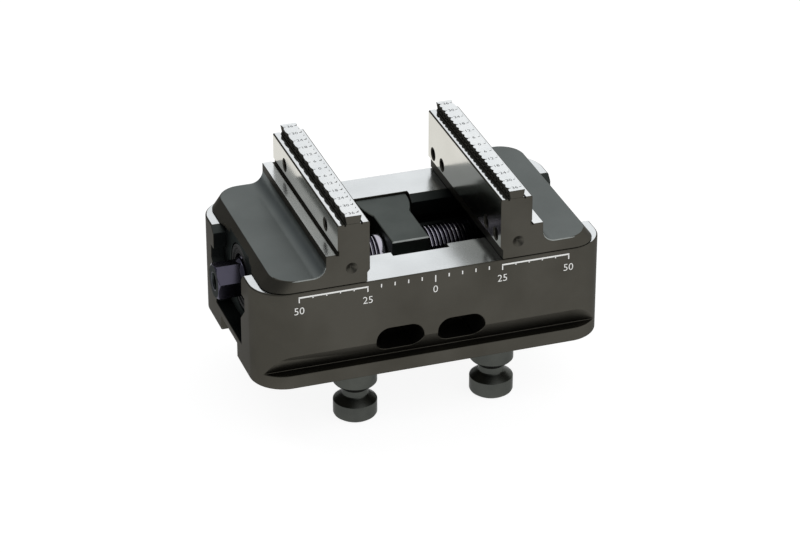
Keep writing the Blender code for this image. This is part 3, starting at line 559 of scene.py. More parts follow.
# %% Holes in the underside
STUDS = (("front_left", -STUD_X, -STUD_Y), ("front_right", STUD_X, -STUD_Y),
         ("rear_left", -STUD_X, STUD_Y), ("rear_right", STUD_X, STUD_Y))
SEAT_DEEP, COLLAR, SHANK, SHANK_DEEP = 2.0 * MM, 8.3 * MM, 4.3 * MM, 7.3 * MM
for _, x, y in STUDS:
    shape_with(base, turned("stud_seat_cutter", [(COLLAR, -OVERRUN), (COLLAR, SEAT_DEEP),
                                                 (SHANK, SEAT_DEEP), (SHANK, SHANK_DEEP)],
                            place=(x, y, 0), sides=48))
SCREWS = [f"bearing_screw_{index}" for index in (1, 2, 3, 4)]
PINS = ["dowel_pin_front", "dowel_pin_rear"]
SCREW_HOLE, SCREW_SEAT = 2.8 * MM, 5.2 * MM


def centre_of(name):
    """The middle of an upright solid, and the heights of its foot and top."""
    low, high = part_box(name)
    return (low.x + high.x) / 2, (low.y + high.y) / 2, low.z, high.z


for name in SCREWS + PINS:
    x, y, _, _ = centre_of(name)
    low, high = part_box(name)
    wide = (high.x - low.x) / 2 + FIT
    narrow = wide if name in PINS else SCREW_HOLE
    shape_with(base, turned("screw_cutter", [(wide, -OVERRUN), (wide, SCREW_SEAT), (narrow, SCREW_SEAT),
                                             (narrow, CHANNEL_FLOOR + OVERRUN)],
                            place=(x, y, 0), sides=32))


# %% Finish of the base
def is_top(place, way):
    return way.z > 0.95


break_edges(base)
shade(base)
paint(base, (BURNISHED, anywhere),
      # painted shade: the walls and floor of the T-slot are painted dark
      (RECESS_SHADE, lambda place, way: abs(place.y) < SLOT_HALF + SLACK and abs(way.x) < 0.5
       and CHANNEL_FLOOR - SLACK < place.z < RAIL_TOP - SLACK),
      (GROUND, lambda place, way: near(place.z, RAIL_TOP, 0.05 * MM) and is_top(place, way)))
finish_piece(base, "base", "burnished_steel", "base_body")

# %% [markdown]
# ## Jaws
# Each jaw is one solid: a low shoulder with a slanted end, an upright plate and a ridge with
# teeth. The right jaw is modelled from a few blocks that are joined, and the concave fillet
# is a bevel on the inside edge between shoulder and plate. The left one is its mirror image.

# %% Shoulder of the right jaw
JAW_FOOT = RAIL_TOP + FIT
SHOULDER_TOP, SHOULDER_END = 42.7 * MM, 58.4 * MM
STEP_X, STEP_TOP, FILLET, JAW_CORNER = 40.1 * MM, 50.45 * MM, 4.7 * MM, 9 * MM
PLATE_BACK, LEDGE = 35.8 * MM, 61.7 * MM
FOOT_INNER, FOOT_LOW, FOOT_HIGH = 25.1 * MM, 41.8 * MM, 43.0 * MM
jaw = block("jaw_right_ground", (PLATE_BACK - OVERRUN, -HALF_WIDTH, JAW_FOOT),
            (JAW_END, HALF_WIDTH, SHOULDER_TOP))
start_edit(jaw)
print("corners:", round_edges(lambda place, way: near(place.x, JAW_END) and abs(way.z) > ALONG,
                              JAW_CORNER, 16))
pick("VERT", lambda place, way: place.x > JAW_END - JAW_CORNER - SLACK and near(place.z, SHOULDER_TOP))
shift(dx=SHOULDER_END - JAW_END)
end_edit()

# %% Guide that runs in the T-slot
GUIDE_INNER, GUIDE_OUTER, GUIDE_FLOOR = 35 * MM, 60.2 * MM, 10 * MM
shape_with(jaw, t_section("guide", GUIDE_INNER, GUIDE_OUTER, FIT, GUIDE_FLOOR, JAW_FOOT + 0.5 * MM),
           "UNION")
# Over the channel the jaw's end is milled back to the guide, so that a wrench socket clears it.
# The relief gets shallower towards both sides, in three steps.
RELIEF_HALF = 12.0 * MM
RELIEF_STEPS = ((15.0 * MM, 60.5 * MM), (17.8 * MM, 61.0 * MM), (20.8 * MM, 61.9 * MM))
relief = block("relief_cutter", (GUIDE_OUTER, -RELIEF_HALF, 0),
               (JAW_END + OVERRUN, RELIEF_HALF, SHOULDER_TOP))
start_edit(relief)
for side in (-1, 1):
    edge, front = RELIEF_HALF, GUIDE_OUTER
    for reach, back in RELIEF_STEPS:
        pick("FACE", lambda place, way: way.y * side > ALONG)
        extrude(dy=side * (reach - edge))
        pick("VERT", lambda place, way: near(place.y, side * reach) and near(place.x, front))
        shift(dx=back - front)
        edge, front = reach, back
end_edit()
shape_with(jaw, relief)
print("faces of the jaw's lower half:", len(jaw.data.polygons))

# %% Plate, step and fillet
plate = block("plate", (JAW_INNER, -HALF_WIDTH, JAW_FOOT), (PLATE_BACK, HALF_WIDTH, LEDGE))
start_edit(plate)
for height in (FOOT_LOW, FOOT_HIGH):
    pick_all()
    bpy.ops.mesh.bisect(plane_co=(0, 0, height), plane_no=(0, 0, 1))
pick("VERT", lambda place, way: near(place.x, JAW_INNER) and place.z < FOOT_LOW + SLACK)
shift(dx=FOOT_INNER - JAW_INNER)
end_edit()
shape_with(jaw, plate, "UNION")
step = block("step", (PLATE_BACK - OVERRUN, -HALF_WIDTH, JAW_FOOT + MM), (STEP_X, HALF_WIDTH, STEP_TOP))
shape_with(jaw, step, "UNION")
start_edit(jaw)
pick_all()
bpy.ops.mesh.dissolve_limited(angle_limit=FLAT_ANGLE)
print("fillet edges:", round_edges(
    lambda place, way: near(place.x, STEP_X) and near(place.z, SHOULDER_TOP) and abs(way.y) > ALONG,
    FILLET, 12))
end_edit()

# %% [markdown]
# ### Ridge with teeth
# The ridge is a dovetail: its foot is narrower than its top, so its sides stay dark. The grip
# side has a notch every 3 mm, every second one shallower, and the back has waves 6 mm apart.
# One bar is subdivided along its length into steps of a tenth of a tooth, and each step's
# vertices are pushed in by the depth that the notch or the wave has there. The bar is made a
# little too long and then trimmed, as a toothed strip would be.

# %% Ridge
RIDGE_MIDDLE, RIDGE_HALF, RIDGE_FOOT_HALF, RIDGE_ROOT = 30.0 * MM, 2.95 * MM, 2.4 * MM, 0.5 * MM
# Each notch starts that many steps of 0.3 mm from the middle and is that deep, every 20 steps.
NOTCHES, WAVE_DEEP, STEPS_APART = ((0, 0.60 * MM), (10, 0.40 * MM)), 0.4 * MM, 20
NOTCH_STEP, BAR_HALF, LAST_NOTCH = 0.3 * MM, 39.0 * MM, 37.65 * MM
NOTCH_REACH, WAVE_REACH = 3, 6
RIDGE_LEAN = (RIDGE_HALF - RIDGE_FOOT_HALF) / (RIDGE_TOP - LEDGE)
bar = block("toothed_bar", (RIDGE_MIDDLE - RIDGE_HALF, -BAR_HALF, LEDGE - RIDGE_ROOT),
            (RIDGE_MIDDLE + RIDGE_HALF, BAR_HALF, RIDGE_TOP))
start_edit(bar)
pick("FACE", lambda place, way: way.z < -ALONG)
scale_about((RIDGE_MIDDLE, 0, 0), x=1 - RIDGE_LEAN * (RIDGE_TOP - LEDGE + RIDGE_ROOT) / RIDGE_HALF)
for cuts in (25, 9):
    pick("EDGE", lambda place, way: abs(way.y) > ALONG)
    bpy.ops.mesh.subdivide(number_cuts=cuts)
for phase, deep in NOTCHES:
    for step in range(-NOTCH_REACH, NOTCH_REACH + 1):
        pick("VERT", lambda place, way: place.x < RIDGE_MIDDLE and abs(place.y) < LAST_NOTCH
             and (round(place.y / NOTCH_STEP) - phase - step) % STEPS_APART == 0)
        shift(dx=deep * min(1.0, (NOTCH_REACH - abs(step)) / 2))
for step in range(-WAVE_REACH, WAVE_REACH + 1):
    pick("VERT", lambda place, way: place.x > RIDGE_MIDDLE
         and (round(place.y / NOTCH_STEP) - step) % STEPS_APART == 0)
    shift(dx=-WAVE_DEEP * (1 + math.cos(math.pi * step / (WAVE_REACH + 1))) / 2)
for side in (-1, 1):
    pick_all()
    bpy.ops.mesh.bisect(plane_co=(0, side * HALF_WIDTH, 0), plane_no=(0, side, 0),
                        clear_outer=True, use_fill=True)
end_edit()
shape_with(jaw, bar, "UNION")

# %% Grooves beside the ridge and the step
GROOVE_WIDE, GROOVE_DEEP, GROOVE_AWAY = 0.5 * MM, 0.7 * MM, 0.35 * MM
for low_x in (RIDGE_MIDDLE - RIDGE_FOOT_HALF - GROOVE_AWAY - GROOVE_WIDE,
              RIDGE_MIDDLE + RIDGE_FOOT_HALF + GROOVE_AWAY):
    shape_with(jaw, block("groove_cutter", (low_x, -REACH_Y, LEDGE - GROOVE_DEEP),
                          (low_x + GROOVE_WIDE, REACH_Y, LEDGE + 0.2 * MM)))
UNDERCUT = 0.5 * MM
shape_with(jaw, block("foot_groove_cutter", (PLATE_BACK - UNDERCUT, -REACH_Y, STEP_TOP - 0.4 * MM),
                      (PLATE_BACK + 0.6 * MM, REACH_Y, STEP_TOP + 0.4 * MM)))
shape_with(jaw, block("undercut_cutter", (PLATE_BACK - UNDERCUT, -REACH_Y, STEP_TOP),
                      (PLATE_BACK + UNDERCUT, REACH_Y, STEP_TOP + 1.4 * MM)))
print("faces with ridge and grooves:", len(jaw.data.polygons))

# %% Bore and holes
AXIS, RIGHTWARDS = (0, 0, AXIS_HEIGHT), (1, 0, 0)
NUT_BORE, SPINDLE_BORE, WIPER_BORE = 11.5 * MM, 8.6 * MM, 12.5 * MM
NUT_END, WIPER_START = 57 * MM, 58 * MM
shape_with(jaw, turned("bore_cutter", [
    (NUT_BORE, GUIDE_INNER - OVERRUN), (NUT_BORE, NUT_END), (SPINDLE_BORE, NUT_END),
    (SPINDLE_BORE, WIPER_START), (WIPER_BORE, WIPER_START), (WIPER_BORE, GUIDE_OUTER + OVERRUN)],
    RIGHTWARDS, AXIS))
HOLE, SINK = 2.1 * MM, 2.5 * MM
DIMPLE_X, DIMPLE_Z = 30.8 * MM, 44.5 * MM
FACE_HOLES, FACE_HOLE_Z = (-33.2 * MM, -23.5 * MM, 23.5 * MM, 33.2 * MM), 46.1 * MM
BACK_HOLE_Y, BACK_HOLE_Z = 24.2 * MM, 55.5 * MM
GRUB_X, GRUB_HOLE, GRUB_TOP = 46 * MM, 2.8 * MM, 16 * MM


def countersunk_cut(piece, place, direction, depth):
    """A drilled hole with a small countersink at its mouth."""
    rings = [(SINK, -MM), (SINK, 0), (HOLE, SINK - HOLE), (HOLE, depth),
             (0.3 * MM, depth + HOLE * 0.6)]
    shape_with(piece, turned("drill", rings, direction, place, sides=32))


for y in FACE_HOLES:
    countersunk_cut(jaw, (JAW_INNER, y, FACE_HOLE_Z), RIGHTWARDS, 9 * MM)
for side in (-1, 1):
    countersunk_cut(jaw, (PLATE_BACK, side * BACK_HOLE_Y, BACK_HOLE_Z), (-1, 0, 0), 6.8 * MM)
    shape_with(jaw, turned("dimple", [(3.4 * MM, -MM), (0.2 * MM, 1.65 * MM)], (0, -side, 0),
                           (DIMPLE_X, side * HALF_WIDTH, DIMPLE_Z), sides=32))
shape_with(jaw, turned("grub_cutter", [(GRUB_HOLE, GUIDE_FLOOR - OVERRUN), (GRUB_HOLE, GRUB_TOP)],
                       place=(GRUB_X, 0, 0), sides=32))

# %% Rims of the jaw
# The rim of the shoulder and fillet is rounded more than the other edges, and its upward faces
# are painted light, a painted highlight. The plate's top edges are broken more, and show as dark lines.
merge_flat_faces(jaw)
start_edit(jaw)
print("rim edges:", round_edges(
    lambda place, way: place.x > PLATE_BACK + MM and place.z > SHOULDER_TOP - SLACK and (
        (near(abs(place.y), HALF_WIDTH) and abs(way.y) < ACROSS)
        or (near(place.z, SHOULDER_TOP) and place.x > STEP_X + FILLET + MM)), 0.3 * MM, 2))
print("plate rims:", round_edges(
    lambda place, way: abs(way.y) > ALONG and near(place.z, LEDGE)
    and (near(place.x, JAW_INNER) or near(place.x, PLATE_BACK)), 0.35 * MM, 1))
end_edit()
break_edges(jaw, 0.12 * MM)
# The bevel pushes corners of the dovetail's foot out of the end faces. Scaled by zero across
# the face, they lie on it again, however far out they were.
start_edit(jaw)
for side in (-1, 1):
    pick("VERT", lambda place, way: place.y * side > HALF_WIDTH + 0.002 * MM)
    scale_about((0, side * HALF_WIDTH, 0), y=0.0)
end_edit()
shade(jaw)


# %% Finish of the jaws
RIM_BAND = 0.35 * MM
paint(jaw, (BURNISHED, anywhere),
      # painted shade: the guide under the jaw and the relief over the channel are painted dark
      (RECESS_SHADE, lambda place, way: place.z < JAW_FOOT - 0.05 * MM
       and (place.x < GUIDE_OUTER + SLACK or abs(place.y) < RELIEF_HALF - SLACK)),
      # painted light: the upward shoulder and fillet faces get a lighter copy of the oxide
      (SHOULDER_PAINTED_LIGHT, lambda place, way: way.z > 0.05 and abs(way.y) < ACROSS and place.x > PLATE_BACK + MM
       and SHOULDER_TOP - SLACK < place.z < STEP_TOP - FIT
       and (is_top(place, way) or place.x < STEP_X + FILLET)),
      # painted highlight: the upward faces of the shoulder's rounded rim are painted light grey
      (RIM_HIGHLIGHT, lambda place, way: abs(way.y) > 0.3 and way.z > 0.2 and place.x > PLATE_BACK + MM
       and abs(place.y) > HALF_WIDTH - RIM_BAND and SHOULDER_TOP - RIM_BAND < place.z < STEP_TOP - FIT),
      (GROUND_ACROSS, lambda place, way: is_top(place, way) and (
          near(place.z, STEP_TOP, SLACK) or near(place.z, RIDGE_TOP, SLACK))),
      (LAPPED, lambda place, way: is_top(place, way) and near(place.z, LEDGE, SLACK)),
      (POLISHED, lambda place, way: abs(way.x) > 0.95 and FOOT_HIGH - 0.2 * MM < place.z < LEDGE
       and (near(place.x, JAW_INNER, SLACK)
            or (near(place.x, PLATE_BACK, SLACK) and place.z > STEP_TOP))))
jaw_left = mirror_across(copy_piece(jaw, "jaw_left_ground"), x=-1)
shade(jaw_left)
finish_piece(jaw, "carriage_right", "burnished_steel", "jaw_right")
finish_piece(jaw_left, "carriage_left", "burnished_steel", "jaw_left")

# %% [markdown]
# ## Spindle
# The thread is the one form here that a plain cylinder cannot stand for. A four-cornered
# section is swept by a Screw modifier, which turns it and shifts it by one pitch each round.
# The right half is right-handed. The left half is its mirror image, so that one turn of the
# spindle moves both jaws in opposite directions.

# %% Thread ridges
PITCH, CREST, ROOT, TURN_STEPS = 1.5 * MM, 8.0 * MM, 7.1 * MM, 40


def thread(name, start, end):
    """A right-handed ridge round the X axis, from start to end."""
    bpy.ops.object.select_all(action="DESELECT")
    bpy.ops.mesh.primitive_circle_add(vertices=4, radius=PITCH / 2, location=(0, 0, 0))
    ridge = bpy.context.object
    ridge.name = name
    corners = ((-0.48 * PITCH, ROOT - FIT), (-0.07 * PITCH, CREST),
               (0.07 * PITCH, CREST), (0.48 * PITCH, ROOT - FIT))
    for vertex, (x, radius) in zip(ridge.data.vertices, corners):
        vertex.co = (x, 0, radius)
    screw = ridge.modifiers.new("Thread", "SCREW")
    screw.axis = "X"
    screw.screw_offset = PITCH
    screw.iterations = int((end - start - PITCH) / PITCH)
    screw.steps = screw.render_steps = TURN_STEPS
    screw.use_merge_vertices = False
    apply_all(ridge)
    start_edit(ridge)
    bpy.ops.mesh.select_mode(type="EDGE")
    bpy.ops.mesh.select_all(action="DESELECT")
    bpy.ops.mesh.select_non_manifold()
    bpy.ops.mesh.edge_face_add()
    face_outwards()
    end_edit()
    ridge.data.transform(Matrix.Translation((start + PITCH / 2, 0, AXIS_HEIGHT)))
    return ridge


SHOULDER_X, COLLAR_END, JOURNAL = 7.4 * MM, 10.2 * MM, 6.0 * MM
DRIVE_START, DRIVE_SIZE, DRIVE_TURN = spindle_low.x + 8.6 * MM, 12 * MM, math.radians(48)
right_thread = thread("thread_right", SHOULDER_X, spindle_high.x - 0.3 * MM)
left_thread = mirror_across(thread("thread_left", COLLAR_END, -DRIVE_START - 0.3 * MM), x=-1)
print("turns of thread:", len(right_thread.data.polygons) // TURN_STEPS // 4,
      len(left_thread.data.polygons) // TURN_STEPS // 4)

# %% Shaft, collar and hex drive
shaft = turned("spindle_threaded", [
    (5.9 * MM, DRIVE_START), (ROOT, DRIVE_START + 1.2 * MM), (ROOT, -COLLAR_END),
    (7.8 * MM, -COLLAR_END), (CREST, -COLLAR_END + 0.2 * MM), (CREST, -SHOULDER_X - 0.3 * MM),
    (7.7 * MM, -SHOULDER_X), (JOURNAL, -SHOULDER_X),
    (JOURNAL, SHOULDER_X), (ROOT, SHOULDER_X), (ROOT, spindle_high.x - 1.0 * MM),
    (5.9 * MM, spindle_high.x)], RIGHTWARDS, AXIS)
corner = DRIVE_SIZE / math.sqrt(3)
drive = turned("hex_drive", [(corner, spindle_low.x), (corner, DRIVE_START + 2 * MM)],
               RIGHTWARDS, sides=6)
drive.data.transform(Matrix.Translation(AXIS) @ Matrix.Rotation(DRIVE_TURN, 4, "X"))
shape_with(drive, turned("drive_tip", [
    (corner - 1.0 * MM, spindle_low.x - HAIR), (corner + MM, spindle_low.x + 1.2 * MM),
    (corner + MM, DRIVE_START + 3 * MM)], RIGHTWARDS, AXIS), "INTERSECT")
shape_with(shaft, drive, "UNION")
shape_with(shaft, turned("centre_drill", [
    (3.3 * MM, spindle_low.x - MM), (3.3 * MM, spindle_low.x), (2.7 * MM, spindle_low.x + 0.6 * MM),
    (2.7 * MM, spindle_low.x + 6 * MM), (0.3 * MM, spindle_low.x + 7.4 * MM)],
    RIGHTWARDS, AXIS, sides=32))
break_edges(shaft, 0.12 * MM)
join_all("spindle_threaded", (shaft, right_thread, left_thread))
shade(shaft)


def from_axis(place):
    return math.hypot(place.y, place.z - AXIS_HEIGHT)


paint(shaft, (SPINDLE, anywhere),
      # painted highlight: the thread's crests and the collar are painted bright
      (CREST_HIGHLIGHT, lambda place, way: place.x > DRIVE_START + MM and from_axis(place) > CREST - 0.05 * MM),
      # painted shade: the inside of the hex socket is painted dark
      (RECESS_SHADE, lambda place, way: place.x < spindle_low.x + 8 * MM and from_axis(place) < 3.25 * MM))
finish_piece(shaft, "spindle", "spindle_steel", "spindle")

# %% [markdown]
# ## Bearing block
# From above, the block has a straight waist and flares at both ends, so that it keys into its
# seat. The waist is a cube, and each end face is extruded in steps that widen along an arc.
# The fork below is a cutter with a round top, dropped over the spindle's journal.

# %% Waist and flares
block_low, block_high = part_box("bearing_block")
BLOCK_FOOT, BLOCK_TOP = block_low.z, block_high.z
WAIST, BLOCK_HALF, BLOCK_REACH = 7.1 * MM, block_high.x, block_high.y
LEDGE_Y, FLARE_START, FLARE_STEPS = 12.3 * MM, 9.5 * MM, 8
holder = block("bearing_block_milled", (-WAIST, -LEDGE_Y, BLOCK_FOOT), (WAIST, FLARE_START, BLOCK_TOP))
start_edit(holder)
for side, start in ((-1, LEDGE_Y), (1, FLARE_START)):
    run, flare = BLOCK_REACH - start, BLOCK_HALF - WAIST
    radius = (run * run + flare * flare) / (2 * flare)
    width = WAIST
    for step in range(1, FLARE_STEPS + 1):
        left_over = run * (1 - step / FLARE_STEPS)
        new_width = BLOCK_HALF - radius + math.sqrt(radius * radius - left_over * left_over)
        pick("FACE", lambda place, way: way.y * side > ALONG)
        extrude(dy=side * run / FLARE_STEPS)
        scale_about((0, 0, 0), x=new_width / width)
        width = new_width
BLOCK_RIM = 0.4 * MM
print("side rims:", round_edges(
    lambda place, way: near(place.z, BLOCK_TOP) and abs(way.z) < ACROSS
    and abs(place.x) > WAIST - SLACK, BLOCK_RIM, 1))
end_edit()

# %% Ledge, foot and fork
BLOCK_LEDGE, FOOT_Y, FOOT_TOP = 31 * MM, 16.1 * MM, 16.5 * MM
shape_with(holder, block("ledge_cutter", (-REACH_Y, -REACH_Y, BLOCK_LEDGE), (REACH_Y, -LEDGE_Y, REACH_X)))
for side in (-1, 1):
    ends = sorted((side * FOOT_Y, side * REACH_Y))
    shape_with(holder, block("step_cutter", (-REACH_Y, ends[0], 0),
                             (REACH_Y, ends[1], SEAT_FLOOR + FIT)))
shape_with(holder, block("foot", (-BLOCK_HALF, -FOOT_Y + FIT, BLOCK_FOOT + 0.4 * MM),
                         (BLOCK_HALF, FOOT_Y - FIT, FOOT_TOP)), "UNION")
JOURNAL_FIT = 6.3 * MM
fork = block("fork_cutter", (-REACH_Y, -JOURNAL_FIT, 0),
             (REACH_Y, JOURNAL_FIT, AXIS_HEIGHT + JOURNAL_FIT))
start_edit(fork)
round_edges(lambda place, way: abs(way.x) > ALONG and place.z > AXIS_HEIGHT, JOURNAL_FIT - HAIR, 12)
end_edit()
shape_with(holder, fork)
for name in SCREWS + PINS:
    x, y, _, top = centre_of(name)
    hole = 2.3 * MM if name in PINS else SCREW_HOLE
    shape_with(holder, turned("hole_cutter", [(hole, 0), (hole, top + FIT)],
                              place=(x, y, 0), sides=32))
start_edit(holder)
print("front rim:", round_edges(
    lambda place, way: near(place.z, BLOCK_TOP) and near(place.y, -LEDGE_Y), BLOCK_RIM, 1))
end_edit()
break_edges(holder)
shade(holder)
paint(holder, (BLOCK, anywhere),
      # painted highlight: the rounded front rim of the top is painted light grey
      (RIM_HIGHLIGHT, lambda place, way: way.y < -0.3 and way.z > 0.3 and place.z > BLOCK_TOP - 0.45 * MM))
finish_piece(holder, "base", "block_steel", "bearing_block")

# %% [markdown]
# ## Pull studs
# A pull stud is a lathe part: a collar under the base, a slim neck that the zero-point socket
# grips, and a head with a chamfered rim. It is modelled once and copied to the other corners.

# %% Studs
STUD_SEAT, STUD_RADIUS, NECK_RADIUS, SHANK_RADIUS = SEAT_DEEP - FIT, 8.0 * MM, 4.8 * MM, 4.0 * MM
stud_source = turned("stud_source", [
    (6.6 * MM, FLOOR_HEIGHT), (7.7 * MM, FLOOR_HEIGHT + 0.8 * MM),
    (STUD_RADIUS, FLOOR_HEIGHT + 1.4 * MM), (STUD_RADIUS, -15.6 * MM), (7.9 * MM, -15.4 * MM),
    (5.2 * MM, -13.4 * MM), (NECK_RADIUS, -12.9 * MM), (NECK_RADIUS, -10.7 * MM), (5.2 * MM, -10.2 * MM),
    (7.6 * MM, -8.3 * MM), (STUD_RADIUS, -7.8 * MM), (STUD_RADIUS, STUD_SEAT - 0.3 * MM),
    (7.7 * MM, STUD_SEAT), (SHANK_RADIUS, STUD_SEAT), (SHANK_RADIUS, 6.4 * MM), (3.4 * MM, 7.0 * MM)])
cut_hex_socket(stud_source, FLOOR_HEIGHT, 6 * MM, 4.5 * MM)
break_edges(stud_source, 0.10 * MM, 50)
shade(stud_source, 35)
paint(stud_source, (TURNED, anywhere))
for word, x, y in STUDS:
    stud = copy_piece(stud_source, "pull_stud_" + word + "_turned")
    stud.data.transform(Matrix.Translation((x, y, 0)))
    finish_piece(stud, "base", "burnished_steel", "pull_stud_" + word)
bpy.data.objects.remove(stud_source, do_unlink=True)

# %% [markdown]
# ## Nuts, rings and screws
# These sit inside the jaws and the base, and are seen only from the ends and from below. The
# nut has a groove for the grub screw that keeps it from turning, and the rubber ring has a thin
# lip that wipes chips off the thread.

# %% Nuts and wiper rings
for side, word in ((-1, "left"), (1, "right")):
    along = (side, 0, 0)
    nut = turned("spindle_nut_" + word + "_bronze", [
        (8.9 * MM, 35.3 * MM), (10.6 * MM, 35.3 * MM), (11.2 * MM, 35.9 * MM), (11.2 * MM, 43.0 * MM),
        (10.3 * MM, 43.0 * MM), (10.3 * MM, 49.0 * MM), (11.2 * MM, 49.0 * MM), (11.2 * MM, 56.1 * MM),
        (10.6 * MM, 56.7 * MM), (8.9 * MM, 56.7 * MM), (8.3 * MM, 56.1 * MM), (8.3 * MM, 35.9 * MM),
        (8.9 * MM, 35.3 * MM)], along, AXIS, hollow=True)
    finish_small(nut, BRONZE, "carriage_" + word, "nut_bronze", "spindle_nut_" + word)
    ring = turned("wiper_ring_" + word + "_lipped", [
        (8.6 * MM, 58.7 * MM), (12.0 * MM, 58.3 * MM), (12.2 * MM, 58.5 * MM), (12.2 * MM, 59.7 * MM),
        (12.0 * MM, 59.9 * MM), (10.6 * MM, 59.9 * MM), (10.2 * MM, 59.5 * MM), (9.4 * MM, 59.5 * MM),
        (8.8 * MM, 59.8 * MM), (8.6 * MM, 59.7 * MM), (8.6 * MM, 58.7 * MM)], along, AXIS, hollow=True)
    finish_small(ring, RUBBER, "carriage_" + word, "wiper_rubber", "wiper_ring_" + word)


# %% Screws and pins
SCREW_RADIUS, HEAD_RADIUS, HEAD_TALL, PIN_RADIUS = 2.5 * MM, 4.25 * MM, 4.5 * MM, 2.0 * MM
for name in SCREWS:
    x, y, foot, top = centre_of(name)
    head_top = foot + HEAD_TALL
    screw = turned(name + "_socket_head", [
        (3.85 * MM, foot), (HEAD_RADIUS, foot + 0.4 * MM), (HEAD_RADIUS, head_top - 0.1 * MM),
        (4.15 * MM, head_top), (SCREW_RADIUS, head_top), (SCREW_RADIUS, top - 0.5 * MM),
        (2.0 * MM, top)], place=(x, y, 0), sides=48)
    cut_hex_socket(screw, foot, 4 * MM, 2.4 * MM, (x, y, 0))
    finish_small(screw, SCREW, "base", "screw_steel", name)
for name in PINS:
    x, y, foot, top = centre_of(name)
    pin = turned(name + "_ground", [
        (1.4 * MM, foot), (1.75 * MM, foot + 0.1 * MM), (PIN_RADIUS, foot + 0.5 * MM),
        (PIN_RADIUS, top - 0.5 * MM), (1.75 * MM, top - 0.1 * MM), (1.4 * MM, top)],
        place=(x, y, 0), sides=40)
    finish_small(pin, PIN, "base", "pin_steel", name)
for word in ("left", "right"):
    x, y, foot, top = centre_of("nut_screw_" + word)
    grub = turned("nut_screw_" + word + "_grub", [
        (2.1 * MM, foot), (SCREW_RADIUS, foot + 0.4 * MM), (SCREW_RADIUS, top - 0.7 * MM),
        (1.6 * MM, top)], place=(x, y, 0), sides=40)
    cut_hex_socket(grub, foot, 2.5 * MM, 1.8 * MM, (x, y, 0))
    finish_small(grub, SCREW, "carriage_" + word, "screw_steel", "nut_screw_" + word)

# %% [markdown]
# ## Scales
# A white millimetre scale runs along the front of the base, with longer marks at 0, 25 and 50,
# and each ridge carries dark numbers every 6 mm from its middle. The marks are thin plates that
# lie on the steel: text is turned into a mesh before it is placed, so that it exports as one.

# %% Marks and numerals
# SKIN is how far a mark stands out of the steel. A figure is 0.73 as tall as the font's size.
SKIN, FIGURE_SHARE, THINNER = 0.03 * MM, 0.73, -0.008


def mark(name, low, high):
    """A thin plate whose four outer corners are softened like an engraved line."""
    plate = block(name, low, high)
    start_edit(plate)
    thin = min(range(3), key=lambda i: high[i] - low[i])
    round_edges(lambda place, way: abs(way[thin]) > ALONG, 0.06 * MM, 2)
    end_edit()
    return plate


def numeral(name, words, size, facing, centre):
    """Plain figures of a given height, as a thin mesh that a matrix turns to its face."""
    bpy.ops.object.select_all(action="DESELECT")
    bpy.ops.object.text_add(location=(0, 0, 0))
    text = bpy.context.object
    text.name = name
    text.data.body = words
    text.data.size = size / FIGURE_SHARE
    text.data.align_x = "CENTER"
    text.data.align_y = "CENTER"
    text.data.extrude = SKIN / 2
    text.data.offset = THINNER * size
    text.data.resolution_u = 3
    bpy.ops.object.convert(target="MESH")
    shape = bpy.context.object
    low = Vector(shape.bound_box[0])
    high = Vector(shape.bound_box[6])
    shape.data.transform(Matrix.Translation(-(low + high) / 2))
    shape.data.transform(Matrix.Translation(centre) @ facing.to_4x4())
    return shape


FRONT_FACE = Matrix(((1, 0, 0), (0, 0, -1), (0, 1, 0)))
TOP_FACE = Matrix.Identity(3)

# %% Scale on the front of the base
SCALE_TOP, LINE, BAR_TALL, FIGURE_Z = 36.4 * MM, 0.42 * MM, 0.6 * MM, 30.9 * MM
# Distances from the middle, where their marks start below the scale's top, and where they end
MARK_ROWS = (((25, 50), 0.5 * MM, 2.3 * MM), ((30, 35, 40, 45), 0.5 * MM, 1.1 * MM),
             ((5, 10, 15, 20), 0.0, 1.4 * MM))
front_y = -HALF_WIDTH


def front_mark(low_x, high_x, top, bottom):
    return mark("scale_mark", (low_x, front_y - SKIN, bottom), (high_x, front_y + SKIN, top))


marks = []
for side in (-1, 1):
    ends = sorted((side * (25 * MM - LINE / 2), side * (50 * MM + LINE / 2)))
    marks.append(front_mark(ends[0], ends[1], SCALE_TOP, SCALE_TOP - BAR_TALL))
    for distances, start, end in MARK_ROWS:
        for middle in (side * distance * MM for distance in distances):
            marks.append(front_mark(middle - LINE / 2, middle + LINE / 2,
                                    SCALE_TOP - start, SCALE_TOP - end))
marks.append(front_mark(-LINE / 2, LINE / 2, SCALE_TOP, SCALE_TOP - 2.7 * MM))
for distance in (-50, -25, 0, 25, 50):
    marks.append(numeral("scale_figure", str(abs(distance)), 2.9 * MM, FRONT_FACE,
                         (distance * MM, front_y, FIGURE_Z)))
front_scale = join_all("front_scale", marks)
paint(front_scale, (WHITE_FILL, anywhere))
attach(front_scale, "base")
print("marks on the front:", len(marks))

# %% Figures on the ridges
DASH_AWAY, DASH_HALF, DASH_THIN = 1.95 * MM, 0.35 * MM, 0.12 * MM
for side, word in ((-1, "left"), (1, "right")):
    figures = []
    for distance in range(-36, 37, 6):
        y = distance * MM
        figures.append(numeral("ridge_figure", str(abs(distance)), 1.75 * MM, TOP_FACE,
                               (side * RIDGE_MIDDLE, y, RIDGE_TOP)))
        for edge in (-1, 1):
            x = side * RIDGE_MIDDLE + edge * DASH_AWAY
            figures.append(mark("ridge_mark", (x - DASH_HALF, y - DASH_THIN, RIDGE_TOP - SKIN),
                                (x + DASH_HALF, y + DASH_THIN, RIDGE_TOP + SKIN)))
    ridge_scale = join_all("ridge_scale_" + word, figures)
    paint(ridge_scale, (DARK_MARK, anywhere))
    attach(ridge_scale, "carriage_" + word)

# %% [markdown]
# ## Floor, light and camera
# The steel only looks like steel when it has something to reflect. A wide pale floor and a
# soft world give long reflections, and the world is darker on the left, so that the end faces
# stay dark. One lamp from the upper left shapes the tops, and the floor shows plain white.

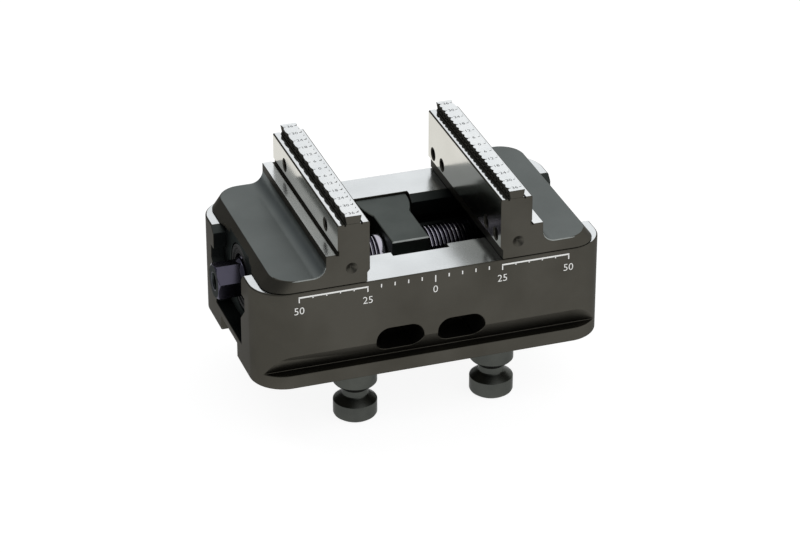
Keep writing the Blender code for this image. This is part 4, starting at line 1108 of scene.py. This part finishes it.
# %% Floor
bpy.ops.object.select_all(action="DESELECT")
bpy.ops.mesh.primitive_plane_add(size=6, location=(0, 0, FLOOR_HEIGHT))
floor = bpy.context.object
floor.name = "floor"
floor_material, floor_shader = new_material("white_floor", 0.9, 0.0)
floor_shader.inputs["Base Color"].default_value = linear("#808080")
floor_shader.inputs["Specular IOR Level"].default_value = 0.0
floor_shader.inputs["Emission Color"].default_value = (1, 1, 1, 1)
floor_shader.inputs["Emission Strength"].default_value = 0.9
floor.data.materials.append(floor_material)

# %% World
world = bpy.data.worlds.new("studio")
bpy.context.scene.world = world
world.use_nodes = True
ahead = add_node(world, "ShaderNodeTexCoord").outputs["Generated"]
sideways = add_node(world, "ShaderNodeSeparateXYZ", links={"Vector": ahead}).outputs["X"]
across = add_node(world, "ShaderNodeMapRange", values={"From Min": -0.6, "From Max": 0.4},
                  links={"Value": sideways}).outputs["Result"]
sky = ramp(world, across, [(0.0, (0.22, 0.23, 0.24, 1)), (0.3, (0.35, 0.36, 0.37, 1)),
                           (0.65, (0.8, 0.8, 0.8, 1)), (1.0, (1, 1, 1, 1))])
world.node_tree.links.new(sky, world.node_tree.nodes["Background"].inputs["Color"])

# %% Lamp
lamp_data = bpy.data.lights.new("key_lamp", "AREA")
lamp_data.shape = "DISK"
lamp_data.size = 0.4
lamp_data.energy = 1.0
lamp = bpy.data.objects.new("key_lamp", lamp_data)
bpy.context.scene.collection.objects.link(lamp)
lamp.location = (-0.5, 0.3, 0.9)
lamp.rotation_euler = (-lamp.location).to_track_quat("-Z", "Y").to_euler()
print("lamp to the middle:", round(lamp.location.length, 2), "m")

# %% Camera
CAMERA_TURN, CAMERA_TILT = math.radians(18.82), math.radians(28.62)
forward = Vector((math.sin(CAMERA_TURN) * math.cos(CAMERA_TILT),
                  math.cos(CAMERA_TURN) * math.cos(CAMERA_TILT), -math.sin(CAMERA_TILT)))
right = Vector((math.cos(CAMERA_TURN), -math.sin(CAMERA_TURN), 0))
up = right.cross(forward)
camera_data = bpy.data.cameras.new("photo_camera")
camera_data.lens = 139.9
camera_data.sensor_width = 36
camera_data.clip_end = 20
camera = bpy.data.objects.new("photo_camera", camera_data)
bpy.context.scene.collection.objects.link(camera)
turn = Matrix((right, up, -forward)).transposed().to_4x4()
camera.matrix_world = Matrix.Translation((-0.31994, -0.93849, 0.55698)) @ turn
bpy.context.scene.camera = camera
bpy.context.scene.view_settings.view_transform = "Standard"
